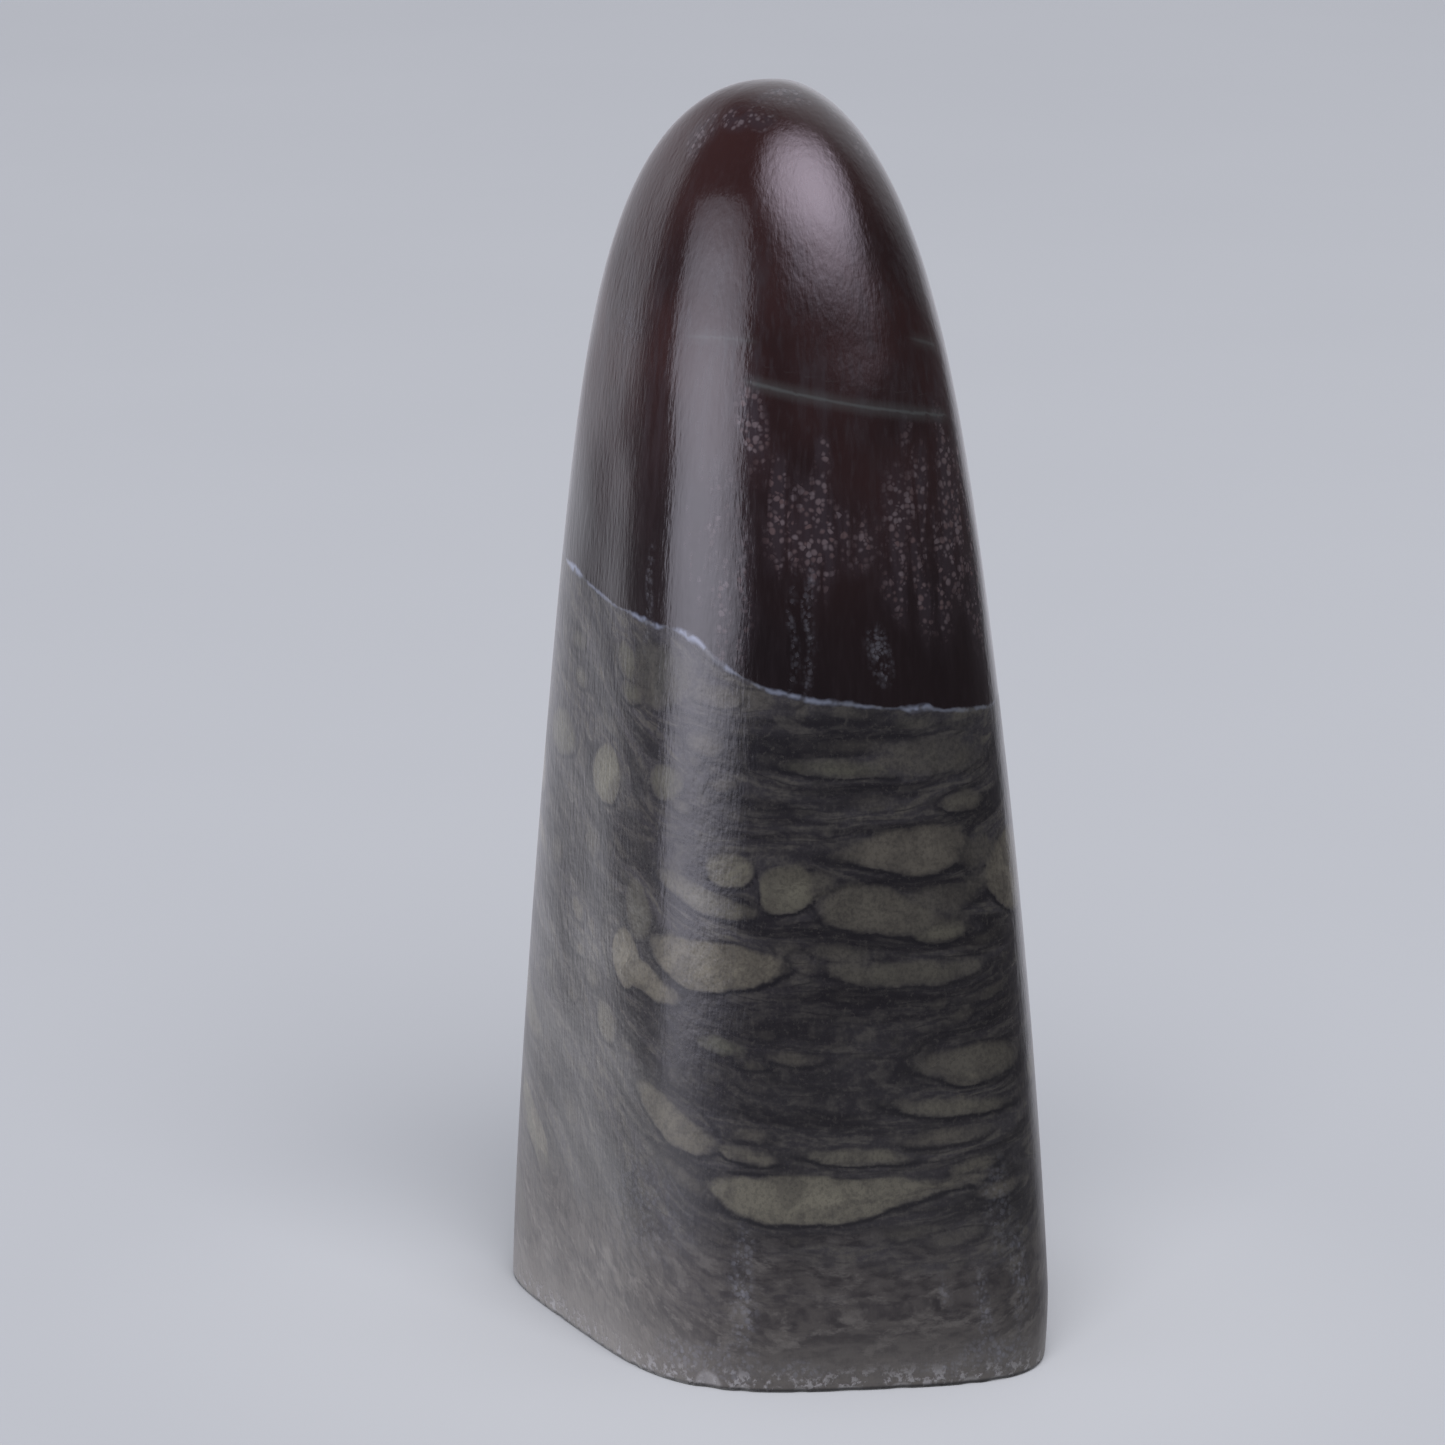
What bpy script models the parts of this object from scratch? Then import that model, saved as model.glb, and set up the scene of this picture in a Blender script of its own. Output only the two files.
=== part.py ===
"""Liver jade: one polished stone that stands on its sawn foot.

The stone has four soft faces that lean in towards a blunt, domed tip. Seen from above it is
nearly a square with round corners at the foot, and rounder near the tip. It is one solid.

Units are metres and degrees. +Z is up, -Y is the broad front face, and the origin is at the
bottom centre of the stone's box, on the surface that it stands on.
"""

import math

import bmesh
import bpy
from mathutils import Vector

OBJECT_NAME = "Liver jade"
STONE_NAME = "liver_jade_stone"

# The whole stone.
HEIGHT = 0.095
LEAN = Vector((-0.0029, -0.0004, 0.0))

# Each soft face: the way it looks, how far out it stands at the foot, the share of that
# reach that it has lost at the tip, and how late up the stone it starts to lose it.
FACES = (
    {"name": "right", "looks": 0, "reach": 0.0170, "taper": 0.425, "bend": 1.80},
    {"name": "back", "looks": 90, "reach": 0.0212, "taper": 0.423, "bend": 1.26},
    {"name": "left", "looks": 195, "reach": 0.0174, "taper": 0.423, "bend": 1.26},
    {"name": "front", "looks": 270, "reach": 0.0189, "taper": 0.423, "bend": 1.26},
)

# How square a level cut is: 2 is an ellipse, and higher is nearer to a box.
FOOT_SQUARENESS = 4.2
TIP_SQUARENESS = 2.75

# How suddenly the dome closes: higher leaves a blunter tip.
TIP_BLUNTNESS = 10.6

# The lower edge is a little round all the way along. Above it the stone is worn further in,
# most at the front right corner and not at all opposite it.
EDGE_ROUND = 0.0004
WEAR_HEIGHT = 0.0058
WEAR_INSET = 0.0005
WEAR_BEND = 1.6
MOST_WORN = 325

# The mesh: points in one level ring, and rings from the foot to the tip.
RING_POINTS = 96
RINGS = 50

STONE_COLOUR = (0.085, 0.070, 0.070, 1.0)
STONE_ROUGHNESS = 0.24


def clear_scene():
    """Starts from an empty scene."""
    for old in list(bpy.data.objects):
        bpy.data.objects.remove(old, do_unlink=True)


def face_hold(face, angle, share):
    """How firmly one soft face holds the surface in, as one over its distance at this angle."""
    facing = max(0.0, math.cos(angle - math.radians(face["looks"])))
    reach = face["reach"] * (1 - face["taper"] * share ** face["bend"])
    return facing / reach


def level_radius(angle, share):
    """Distance of the surface from the upright line, at a share of the height."""
    squareness = FOOT_SQUARENESS + (TIP_SQUARENESS - FOOT_SQUARENESS) * share
    hold = sum(face_hold(face, angle, share) ** squareness for face in FACES)
    dome = math.sqrt(1 - share**TIP_BLUNTNESS)
    return dome * hold ** (-1 / squareness)


def edge_inset(angle, height):
    """How far the lower edge is set in: a quarter round, and the wear above it."""
    under_round = max(0.0, 1 - height / EDGE_ROUND)
    quarter_round = EDGE_ROUND * (1 - math.sqrt(1 - under_round**2))
    under_wear = max(0.0, 1 - height / WEAR_HEIGHT)
    worn = 0.5 + 0.5 * math.cos(angle - math.radians(MOST_WORN))
    return quarter_round + WEAR_INSET * worn * under_wear**WEAR_BEND


def stone_point(angle, share):
    """The point of the surface at this angle about the upright line and share of the height."""
    height = HEIGHT * share
    radius = level_radius(angle, share) - edge_inset(angle, height)
    level = Vector((radius * math.cos(angle), radius * math.sin(angle), height))
    return level + LEAN * share


def shape_stone(mesh):
    """Draws a ball of radius one out to the stone's surface, level ring by level ring."""
    foot_level = -math.cos(math.pi / RINGS)
    for vert in mesh.verts:
        angle = math.atan2(vert.co.y, vert.co.x)
        share = max(0.0, (vert.co.z - foot_level) / (1 - foot_level))
        vert.co = stone_point(angle, min(1.0, share))


def flatten_foot(mesh, pole):
    """Makes the foot one flat face, by taking out the ball's lower pole."""
    bmesh.ops.dissolve_verts(mesh, verts=[pole])


def stand_on_origin(mesh):
    """Moves the points so that the box's bottom centre is the origin."""
    for axis in (0, 1):
        places = [vert.co[axis] for vert in mesh.verts]
        middle = (min(places) + max(places)) / 2
        for vert in mesh.verts:
            vert.co[axis] -= middle


def stone_material():
    """Dark, polished stone between brown red and grey."""
    material = bpy.data.materials.new("polished liver jade")
    material.use_nodes = True
    shader = material.node_tree.nodes["Principled BSDF"]
    shader.inputs["Base Color"].default_value = STONE_COLOUR
    shader.inputs["Roughness"].default_value = STONE_ROUGHNESS
    shader.inputs["Metallic"].default_value = 0.0
    material.diffuse_color = STONE_COLOUR
    return material


def make_stone(collection):
    """The stone as one closed solid."""
    ball = bmesh.new()
    bmesh.ops.create_uvsphere(ball, u_segments=RING_POINTS, v_segments=RINGS, radius=1.0)
    pole = min(ball.verts, key=lambda vert: vert.co.z)
    shape_stone(ball)
    flatten_foot(ball, pole)
    stand_on_origin(ball)
    bmesh.ops.recalc_face_normals(ball, faces=ball.faces)
    mesh = bpy.data.meshes.new(STONE_NAME)
    ball.to_mesh(mesh)
    ball.free()
    mesh.shade_smooth()
    mesh.set_sharp_from_angle(angle=math.radians(35))
    mesh.materials.append(stone_material())
    stone = bpy.data.objects.new(STONE_NAME, mesh)
    collection.objects.link(stone)
    return stone


def main():
    clear_scene()
    parts = bpy.data.collections.new(OBJECT_NAME)
    bpy.context.scene.collection.children.link(parts)
    make_stone(parts)


main()
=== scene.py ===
# %% [markdown]
# # A polished liver jade that stands on its foot
#
# The stone is cut across two rocks. The upper one is a very dark brown red, like liver. The
# lower one is dark grey, full of flattened grey green flakes in thin layers. A pale blue vein
# runs along the joint between them. This lesson builds the stone's smooth form, lays the
# markings out on it, and then mixes one solid stone finish from them.

# %% Bring in the tools and the frame
import math

import bmesh
import bpy
import numpy as np
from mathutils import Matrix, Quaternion, Vector
from mathutils.bvhtree import BVHTree


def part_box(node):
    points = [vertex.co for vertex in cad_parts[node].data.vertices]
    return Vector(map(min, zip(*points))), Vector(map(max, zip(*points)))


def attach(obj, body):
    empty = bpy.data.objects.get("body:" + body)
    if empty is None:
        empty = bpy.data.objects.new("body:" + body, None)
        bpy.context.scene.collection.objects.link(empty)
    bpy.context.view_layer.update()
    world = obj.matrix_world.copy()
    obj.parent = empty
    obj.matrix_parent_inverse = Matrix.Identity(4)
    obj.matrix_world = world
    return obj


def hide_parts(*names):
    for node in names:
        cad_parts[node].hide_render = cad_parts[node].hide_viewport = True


MM = 0.001
STONE_NODE = "liver_jade_stone"

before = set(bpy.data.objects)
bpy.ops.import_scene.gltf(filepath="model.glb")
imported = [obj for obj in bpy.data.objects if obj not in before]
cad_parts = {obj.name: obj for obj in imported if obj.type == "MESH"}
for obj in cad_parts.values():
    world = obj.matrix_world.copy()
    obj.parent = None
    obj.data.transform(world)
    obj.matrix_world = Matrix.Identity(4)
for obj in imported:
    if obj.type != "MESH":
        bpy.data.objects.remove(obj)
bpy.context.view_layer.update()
low_corner, high_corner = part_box(STONE_NODE)
stone_size = (high_corner - low_corner) / MM
print("the stone's box in millimetres:", [round(side, 2) for side in stone_size])


# %% [markdown]
# ## The eye
#
# The stone is seen from a little above and a little to the left of its broad front face, from
# about half a metre away, through a long lens. A long lens flattens the perspective, so the
# upright edges stay nearly parallel. The camera could be aimed with a constraint, but three
# plain vectors do the same and are needed again later, to lay the markings out as the eye
# meets them.

# %% Aim the eye
EYE_TURN = math.radians(8.43)
EYE_TILT = math.radians(12.5)
EYE_DISTANCE = 561.9 * MM
AIM_LEFT = 4.4 * MM
AIM_SHARE = 0.4875

looking = Vector(
    (
        math.sin(EYE_TURN) * math.cos(EYE_TILT),
        math.cos(EYE_TURN) * math.cos(EYE_TILT),
        -math.sin(EYE_TILT),
    )
)
rightward = Vector((math.cos(EYE_TURN), -math.sin(EYE_TURN), 0.0))
upward = rightward.cross(looking)
aim = Vector((0, 0, high_corner.z * AIM_SHARE)) - rightward * AIM_LEFT
eye = aim - looking * EYE_DISTANCE
print("the eye is", round(eye.length / MM), "mm from the stone's foot")

# %% Set up the camera
LENS = 186.7
FILM_WIDTH = 36.0
FARTHEST_SEEN = 10.0

camera_data = bpy.data.cameras.new("eye")
camera_data.lens = LENS
camera_data.sensor_width = FILM_WIDTH
camera_data.clip_end = FARTHEST_SEEN
camera = bpy.data.objects.new("eye", camera_data)
camera.location = eye
camera.rotation_mode = "QUATERNION"
camera.rotation_quaternion = looking.to_track_quat("-Z", "Y")
bpy.context.scene.collection.objects.link(camera)
bpy.context.scene.camera = camera
bpy.context.scene.view_settings.view_transform = "Standard"
print("the lens is", LENS, "mm long")


# %% [markdown]
# ## A small kit for mixing
#
# Every finish here is a tree of shader nodes, and so are the fading light of the lamps and the
# tones of the room. Written out in full, each node takes several lines, and the idea is lost
# among them. These short calls add one node each, with a title to read in the node editor, and
# hand back its output, so that a finish reads like the recipe that it is.

# %% Open a tree, add nodes and feed them
class Tree:
    """The node tree of a material, a lamp or a world."""

    def __init__(self, owner):
        owner.use_nodes = True
        self.owner = owner
        self.tree = owner.node_tree
        self.step_frame = None

    def start_step(self, title):
        """Opens a titled frame, and the nodes that follow go into it."""
        self.step_frame = self.tree.nodes.new("NodeFrame")
        self.step_frame.label = title

    def feed(self, node, values):
        """Gives sockets of a node their numbers, colours, or other nodes' outputs."""
        for name, value in values.items():
            if isinstance(value, bpy.types.NodeSocket):
                self.tree.links.new(value, node.inputs[name])
            else:
                node.inputs[name].default_value = value

    def feed_last(self, name, values):
        """Feeds a node that Blender itself puts in each new tree, such as the shader."""
        self.feed(self.tree.nodes[name], values)

    def add(self, kind, title, values, output=0, **options):
        """Adds one node, titles it, sets its options, feeds it and hands back an output."""
        node = self.tree.nodes.new(kind)
        node.label = title
        node.parent = self.step_frame
        for option, value in options.items():
            setattr(node, option, value)
        self.feed(node, values)
        return node.outputs[output]


print("a tree has", sum(callable(call) for call in vars(Tree).values()), "calls")


# %% Calls that add one node each
class Mixer(Tree):
    """A tree with a short call for each kind of node."""

    def sum(self, title, operation, *numbers):
        """One sum with numbers, such as ADD, SUBTRACT or MAXIMUM."""
        values = dict(enumerate(numbers))
        return self.add("ShaderNodeMath", title, values, operation=operation)

    def times(self, title, first, second):
        """Two numbers multiplied, such as a share of a share."""
        return self.sum(title, "MULTIPLY", first, second)

    def vector_sum(self, title, operation, first, second=(0, 0, 0), output=0):
        """One sum with places or directions."""
        values = {0: first, 1: second}
        return self.add("ShaderNodeVectorMath", title, values, output, operation=operation)

    def stretch(self, title, place, by):
        """The place multiplied by a number for each axis."""
        return self.vector_sum(title, "MULTIPLY", place, by)

    def shift(self, title, place, by):
        """The place moved by a vector."""
        return self.vector_sum(title, "ADD", place, by)

    def away(self, title, place):
        """How far a place is from its origin."""
        return self.vector_sum(title, "LENGTH", place, output="Value")

    def facing(self, title, way, towards):
        """How much a direction faces another one, as the cosine between them."""
        return self.vector_sum(title, "DOT_PRODUCT", way, towards, "Value")

    def ramp(self, title, value, start, end, lowest=0.0, highest=1.0):
        """lowest up to start, highest from end on, and an easy slope between them."""
        values = {"Value": value, "From Min": start, "From Max": end}
        values |= {"To Min": lowest, "To Max": highest}
        kind = "ShaderNodeMapRange"
        return self.add(kind, title, values, "Result", interpolation_type="SMOOTHSTEP")

    def scale(self, title, value, lowest, highest):
        """Turns 0 to 1 into lowest to highest."""
        values = {"Value": value, "To Min": lowest, "To Max": highest}
        return self.add("ShaderNodeMapRange", title, values, "Result")

    def mix(self, title, share, under, over):
        """One colour laid over another by a share from 0 to 1."""
        values = {0: share, 6: under, 7: over}
        return self.add("ShaderNodeMix", title, values, 2, data_type="RGBA")

    def clouds(self, title, place, size, detail=2.0, roughness=0.5, output="Fac"):
        """Cloudy noise from 0 to 1, in blobs of about this many millimetres."""
        values = {"Vector": place, "Scale": 1 / size, "Detail": detail, "Roughness": roughness}
        return self.add("ShaderNodeTexNoise", title, values, output)

    def place(self):
        """Where a point of the object is, in millimetres from its origin."""
        place = self.add("ShaderNodeTexCoord", "place", {}, "Object")
        return self.stretch("in millimetres", place, (1 / MM,) * 3)


print("kinds of node in the kit:", sum(callable(call) for call in vars(Mixer).values()))


# %% [markdown]
# ## The floor
#
# The stone stands on a plain pale floor. One large round sheet is enough: the eye looks down, so
# the sheet fills the view and no wall is needed behind. A faint unevenness in its tone keeps it
# from looking painted. Near the stone its colour is made paler: a painted pool of light, standing
# in for the light that the polished sides throw down.

# %% Lay the floor
FLOOR_RADIUS = 3.0
FLOOR_POINTS = 96
FLOOR_GAP = 0.02 * MM


def make_floor():
    """A round sheet just under the foot, so that the two never share a place."""
    sheet = bmesh.new()
    bmesh.ops.create_circle(sheet, cap_ends=True, segments=FLOOR_POINTS, radius=FLOOR_RADIUS)
    mesh = bpy.data.meshes.new("floor")
    sheet.to_mesh(mesh)
    sheet.free()
    floor = bpy.data.objects.new("floor", mesh)
    floor.location.z = low_corner.z - FLOOR_GAP
    bpy.context.scene.collection.objects.link(floor)
    return floor


floor = make_floor()
floor.visible_glossy = False
print("the floor is", 2 * FLOOR_RADIUS, "m across")


# %% Give the floor its tone
FLOOR_TONES = ((0.345, 0.353, 0.378, 1), (0.360, 0.368, 0.393, 1))
FLOOR_PAINTED_LIGHT = (0.392, 0.400, 0.424, 1)
FLOOR_ROUGHNESS = 0.9
FLOOR_GLOSS = 0.1
PATCH_SIZE = 90.0
PAINTED_LIGHT_FULL_WITHIN = 22.0
PAINTED_LIGHT_UP_TO = 62.0


def floor_finish():
    """Pale and dull, hardly uneven, with a pool of light painted into its colour near the stone.
    """
    floor_mix = Mixer(bpy.data.materials.new("pale floor"))
    floor_mix.start_step("even, pale and dull")
    place = floor_mix.place()
    unevenness = floor_mix.clouds("unevenness", place, PATCH_SIZE, detail=3.0)
    colour = floor_mix.mix("tone", unevenness, *FLOOR_TONES)
    from_stone = floor_mix.away("distance from the stone", place)
    # painted light: the floor's colour turns paler near the stone, a painted pool of the light the
    # stone throws down
    near = floor_mix.ramp("near the stone", from_stone, PAINTED_LIGHT_UP_TO, PAINTED_LIGHT_FULL_WITHIN)
    colour = floor_mix.mix("paler near the stone", near, colour, FLOOR_PAINTED_LIGHT)
    dullness = {"Roughness": FLOOR_ROUGHNESS, "Specular IOR Level": FLOOR_GLOSS}
    floor_mix.feed_last("Principled BSDF", {"Base Color": colour, **dullness})
    return floor_mix.owner


floor.data.materials.append(floor_finish())
print("the floor is paler up to", PAINTED_LIGHT_UP_TO, "mm from the stone's middle")


# %% [markdown]
# ## The light
#
# A dark polished stone shows its form mostly through what it mirrors, so the lights are placed
# by their reflections. A soft box close on the left makes the upright bright strip along the
# stone's near corner. A round one above the front right makes the bright drop near the tip. Real
# soft boxes are brightest in the middle, and that is what gives a highlight its gentle fall. The
# sheet of light could come from a picture, but a few nodes on the lamp do the same.

# %% Make a soft box
def direction(azimuth, elevation):
    """The way to a place at this azimuth, from +X towards +Y, and this height, in degrees."""
    a, e = math.radians(azimuth), math.radians(elevation)
    return Vector((math.cos(a) * math.cos(e), math.sin(a) * math.cos(e), math.sin(e)))


def soft_box(name, centre, aimed_at, shape, size, brightness, colour, roll=0):
    """A flat lamp. Brightness is that of its hot middle, as the stone mirrors it."""
    light = bpy.data.lights.new(name, "AREA")
    light.shape = shape
    light.size, light.size_y = size
    area = size[0] * size[1] * (math.pi / 4 if shape == "ELLIPSE" else 1)
    light.energy = brightness * math.pi * area
    light.color = colour
    box = bpy.data.objects.new(name, light)
    box.location = centre
    box.rotation_mode = "QUATERNION"
    facing = (aimed_at - centre).to_track_quat("-Z", "Y")
    box.rotation_quaternion = facing @ Quaternion((0, 0, 1), math.radians(roll))
    box.visible_camera = False
    bpy.context.scene.collection.objects.link(box)
    return box


def light_only(box, lit):
    """Lets a lamp reach one object and nothing else, as a studio's flags would."""
    reached = bpy.data.collections.new(box.name + " reaches")
    reached.objects.link(lit)
    box.light_linking.receiver_collection = reached


print("straight back is the way", [round(v, 2) for v in direction(90, 0)])


# %% Give a soft box its hot middle
CORNER_FADE = (1.25, 1.0)


def heat_the_middle(light, hot_spot, heat_across, heat_up, edge_share=0.0):
    """Fades a lamp's sheet from its hot spot to a share of that, and to none at its corners."""
    glow = Mixer(light)
    on_sheet = glow.add("ShaderNodeNewGeometry", "place on the sheet", {}, "Parametric")
    from_spot = glow.shift("from the hot spot", on_sheet, (-hot_spot[0], -hot_spot[1], 0.0))
    spread = glow.stretch("spread", from_spot, (heat_across, heat_up, 0.0))
    away = glow.away("away from it", spread)
    fade = glow.ramp("fade", away, 1.0, 0.0, lowest=edge_share)
    corners = glow.ramp("none at the corners", away, *CORNER_FADE)
    glow.feed_last("Emission", {"Strength": glow.times("heat", fade, corners)})
    return glow


print("a lamp's corners begin to fade at", CORNER_FADE[1], "and are dark at", CORNER_FADE[0])


# %% Place two soft boxes for the stone
LEFT_BOX = {
    "shape": "RECTANGLE",
    "size": (0.30, 0.212),
    "brightness": 3.9,
    "colour": (0.87, 0.86, 1.0),
    "roll": 12,
}
LEFT_WAY = 199
LEFT_DISTANCE = 0.23
LEFT_GAP = 0.002
LEFT_HEAT = {"hot_spot": (0.5, 0.34), "heat_across": 1.3, "heat_up": 1.5, "edge_share": 0.22}
ROUND_BOX = {
    "shape": "ELLIPSE",
    "size": (0.88, 0.72),
    "brightness": 6.4,
    "colour": (0.93, 0.83, 1.0),
    "roll": -30,
}
ROUND_WAY = (285, 48.5)
ROUND_DISTANCE = 0.52
ROUND_HEAT = {"hot_spot": (0.5, 0.5), "heat_across": 2.0, "heat_up": 2.0}

left_centre = direction(LEFT_WAY, 0) * LEFT_DISTANCE
left_centre.z = LEFT_BOX["size"][1] / 2 + LEFT_GAP
left_aim = Vector((0, 0, left_centre.z))
left_box = soft_box("left soft box", left_centre, left_aim, **LEFT_BOX)
heat_the_middle(left_box.data, **LEFT_HEAT)

middle = Vector((0, 0, high_corner.z / 2))
round_centre = middle + direction(*ROUND_WAY) * ROUND_DISTANCE
round_box = soft_box("round soft box", round_centre, middle, **ROUND_BOX)
round_glow = heat_the_middle(round_box.data, **ROUND_HEAT)
round_box.visible_diffuse = False
print("soft boxes at", [tuple(round(v, 2) for v in box.location) for box in (left_box, round_box)])
print("the round one fades with", len(round_glow.tree.nodes), "nodes")


# %% Light the floor with a lamp of its own
FLOOR_LAMP = {
    "shape": "ELLIPSE",
    "size": (4.4, 4.4),
    "brightness": 7.3,
    "colour": (1.0, 0.995, 1.0),
}
FLOOR_LAMP_WAY = (268, 50)
FLOOR_LAMP_DISTANCE = 5

floor_lamp_centre = direction(*FLOOR_LAMP_WAY) * FLOOR_LAMP_DISTANCE
floor_lamp = soft_box("floor lamp", floor_lamp_centre, Vector(), **FLOOR_LAMP)
light_only(floor_lamp, floor)
print("the floor lamp is", round(floor_lamp_centre.length, 2), "m away")


# %% [markdown]
# ## The room
#
# Round the lights, the polish mirrors the room: pale behind the stone, where the sheet runs up,
# and dark in front of it, so that the broad front face stays deep. Low on the left it mirrors the
# sheet, which is bright beside the left soft box. The stone's own colour is lit from all round
# by one even tone instead. A world can tell the two kinds of ray apart with a Light Path node,
# as long as it isn't also sampled as a lamp, which is switched off here.

# %% Name the room's tones and ways
ROOM_EVEN = (0.62, 0.635, 0.68, 1)
ROOM_SEEN = (0.49, 0.51, 0.57, 1)
ROOM_DARK = (0.105, 0.100, 0.110, 1)
BRIGHT_CORNER = (1.15, 1.17, 1.26, 1)
BRIGHT_BACK = (0.70, 0.70, 0.77, 1)
BRIGHT_SHEET = (1.55, 1.54, 1.60, 1)
SHEET_IN_FRONT = (0.46, 0.46, 0.49, 1)
BEHIND = direction(89, 0)
LEFT_AND_BEHIND = direction(155, 0)
PALE_CORNER = direction(54, 47)
STRAIGHT_UP = direction(0, 90)
print("the back is", round(BRIGHT_BACK[0] / ROOM_DARK[0], 1), "times as bright as the front")


# %% Fill the room around
def fill_room():
    """A room that is pale behind and dark in front. The camera itself sees one plain tone."""
    world = bpy.data.worlds.new("room")
    bpy.context.scene.world = world
    world.cycles.sampling_method = "NONE"
    room = Mixer(world)
    way = room.add("ShaderNodeTexCoord", "way", {}, "Generated")
    level = room.stretch("its level part", way, (1, 1, 0))
    level_way = room.vector_sum("level way", "NORMALIZE", level)
    rise = room.facing("rise", way, STRAIGHT_UP)
    backward = room.ramp("pale back", room.facing("back", level_way, BEHIND), 0.63, 0.82)
    mirrored = room.mix("back", backward, ROOM_DARK, BRIGHT_BACK)
    low = room.ramp("low", rise, -0.25, -0.34)
    mirrored = room.mix("sheet in front", low, mirrored, SHEET_IN_FRONT)
    left = room.facing("left", level_way, LEFT_AND_BEHIND)
    sheet = room.mix("left", room.ramp("bright left", left, 0.60, 0.87), mirrored, BRIGHT_SHEET)
    mirrored = room.mix("bright sheet", room.ramp("lower", rise, -0.18, -0.30), mirrored, sheet)
    mirrored = room.mix("dark above", room.ramp("high", rise, 0.22, 0.68), mirrored, ROOM_DARK)
    corner = room.ramp("pale corner", room.facing("corner", way, PALE_CORNER), 0.60, 1.0)
    mirrored = room.mix("corner", corner, mirrored, BRIGHT_CORNER)
    is_mirrored = room.add("ShaderNodeLightPath", "in the polish", {}, "Is Glossy Ray")
    is_seen = is_mirrored.node.outputs["Is Camera Ray"]
    tone = room.mix("even or mirrored", is_mirrored, ROOM_EVEN, mirrored)
    tone = room.mix("seen itself", is_seen, tone, ROOM_SEEN)
    room.feed_last("Background", {"Color": tone})
    return room


room = fill_room()
print("the room has", len(room.tree.nodes), "nodes")


# %% [markdown]
# ## The stone's form
#
# The stone has four soft faces that lean in to a blunt, domed tip, and a flat foot. It could be
# sculpted, or subdivided from a cage, but its level cuts follow one rule: they are squares with
# round corners, squarer at the foot than near the tip. So a ball is drawn out to that rule, ring
# by ring. The rings lie close together at the foot, where the edge is round and chipped, and
# where the dome turns over.

# %% Write down the rule of the form
FACES = {
    "right": {"looks": 0, "reach": 17.0, "taper": 0.425, "bend": 1.80},
    "back": {"looks": 90, "reach": 21.2, "taper": 0.423, "bend": 1.26},
    "left": {"looks": 195, "reach": 17.4, "taper": 0.423, "bend": 1.26},
    "front": {"looks": 270, "reach": 18.9, "taper": 0.423, "bend": 1.26},
}
LEAN = (-2.9, -0.4)
FOOT_SQUARENESS = 4.2
TIP_SQUARENESS = 2.75
TIP_BLUNTNESS = 10.6


def level_radius(angle, share):
    """Distance of the surface from the upright line, for arrays of angles and height shares."""
    squareness = FOOT_SQUARENESS + (TIP_SQUARENESS - FOOT_SQUARENESS) * share
    hold = 0
    for face in FACES.values():
        facing = np.maximum(0.0, np.cos(angle - math.radians(face["looks"])))
        reach = face["reach"] * (1 - face["taper"] * share ** face["bend"])
        hold = hold + (facing / reach) ** squareness
    return np.sqrt(1 - share**TIP_BLUNTNESS) * hold ** (-1 / squareness)


half_width = float(level_radius(np.float64(0), np.float64(0)))
print("half width at the foot:", round(half_width, 2), "mm")


# %% Space the rings
RINGS = 304
FOOT_CLOSENESS = 3.0
FOOT_FADE = 1.4
OUTLINE_ANGLE = np.float64(math.radians(285))
OUTLINE_STEPS = 4001
SLOWER_AT_TIP = 3


def ring_shares():
    """Height shares of the rings: evenly spaced along the outline, and closer near the foot."""
    rise = 1 - (1 - np.linspace(0, 1, OUTLINE_STEPS)) ** SLOWER_AT_TIP
    height = rise * stone_size.z
    along = np.hypot(np.diff(height), np.diff(level_radius(OUTLINE_ANGLE, rise)))
    closeness = 1 + FOOT_CLOSENESS * np.exp(-height[:-1] / FOOT_FADE)
    travelled = np.concatenate(([0.0], np.cumsum(along * closeness)))
    return np.interp(np.linspace(0, travelled[-1], RINGS), travelled, rise)


shares = ring_shares()
print("rings", RINGS, "apart by", np.round(np.diff(shares)[[0, 150, 300]] * stone_size.z, 3), "mm")


# %% [markdown]
# ## The worn foot
#
# The lower edge is a little round, more worn at the front right corner, and small chips have
# broken from it. Each chip is a shallow scoop: points near its middle are pushed in towards the
# upright line. Real scoops in the mesh catch the light and break the line of the edge, which a
# painted spot would not.

# %% Wear the lower edge
EDGE_ROUND = 0.4
WEAR_HEIGHT = 5.8
WEAR_INSET = 0.5
WEAR_BEND = 1.6
MOST_WORN = math.radians(325)


def edge_inset(angle, height):
    """How far the lower edge is set in: a quarter round, and the wear above it."""
    under_round = np.maximum(0.0, 1 - height / EDGE_ROUND)
    quarter_round = EDGE_ROUND * (1 - np.sqrt(1 - under_round**2))
    under_wear = np.maximum(0.0, 1 - height / WEAR_HEIGHT)
    worn = 0.5 + 0.5 * np.cos(angle - MOST_WORN)
    return quarter_round + WEAR_INSET * worn * under_wear**WEAR_BEND


worn_in = float(edge_inset(MOST_WORN, np.float64(EDGE_ROUND)))
print("the most worn place is set in by", round(worn_in, 2), "mm")


# %% Chip the lower edge
CHIP_HALO = 1.6
# Each chip: its angle about the upright line in degrees, its half width, height and depth in mm.
CHIPS = (
    (214, 0.5, 0.7, 0.15),
    (238, 1.1, 1.4, 0.22),
    (246, 0.7, 0.6, 0.25),
    (259, 0.6, 0.5, 0.18),
    (270, 1.3, 0.5, 0.16),
    (282, 0.9, 0.6, 0.20),
    (297, 0.7, 0.7, 0.20),
    (303, 1.0, 0.5, 0.24),
    (349, 0.8, 0.6, 0.20),
    (16, 0.9, 0.7, 0.22),
    (61, 1.2, 0.8, 0.25),
    (97, 0.6, 0.5, 0.18),
    (118, 1.0, 0.8, 0.24),
    (171, 0.7, 0.5, 0.18),
)


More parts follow.
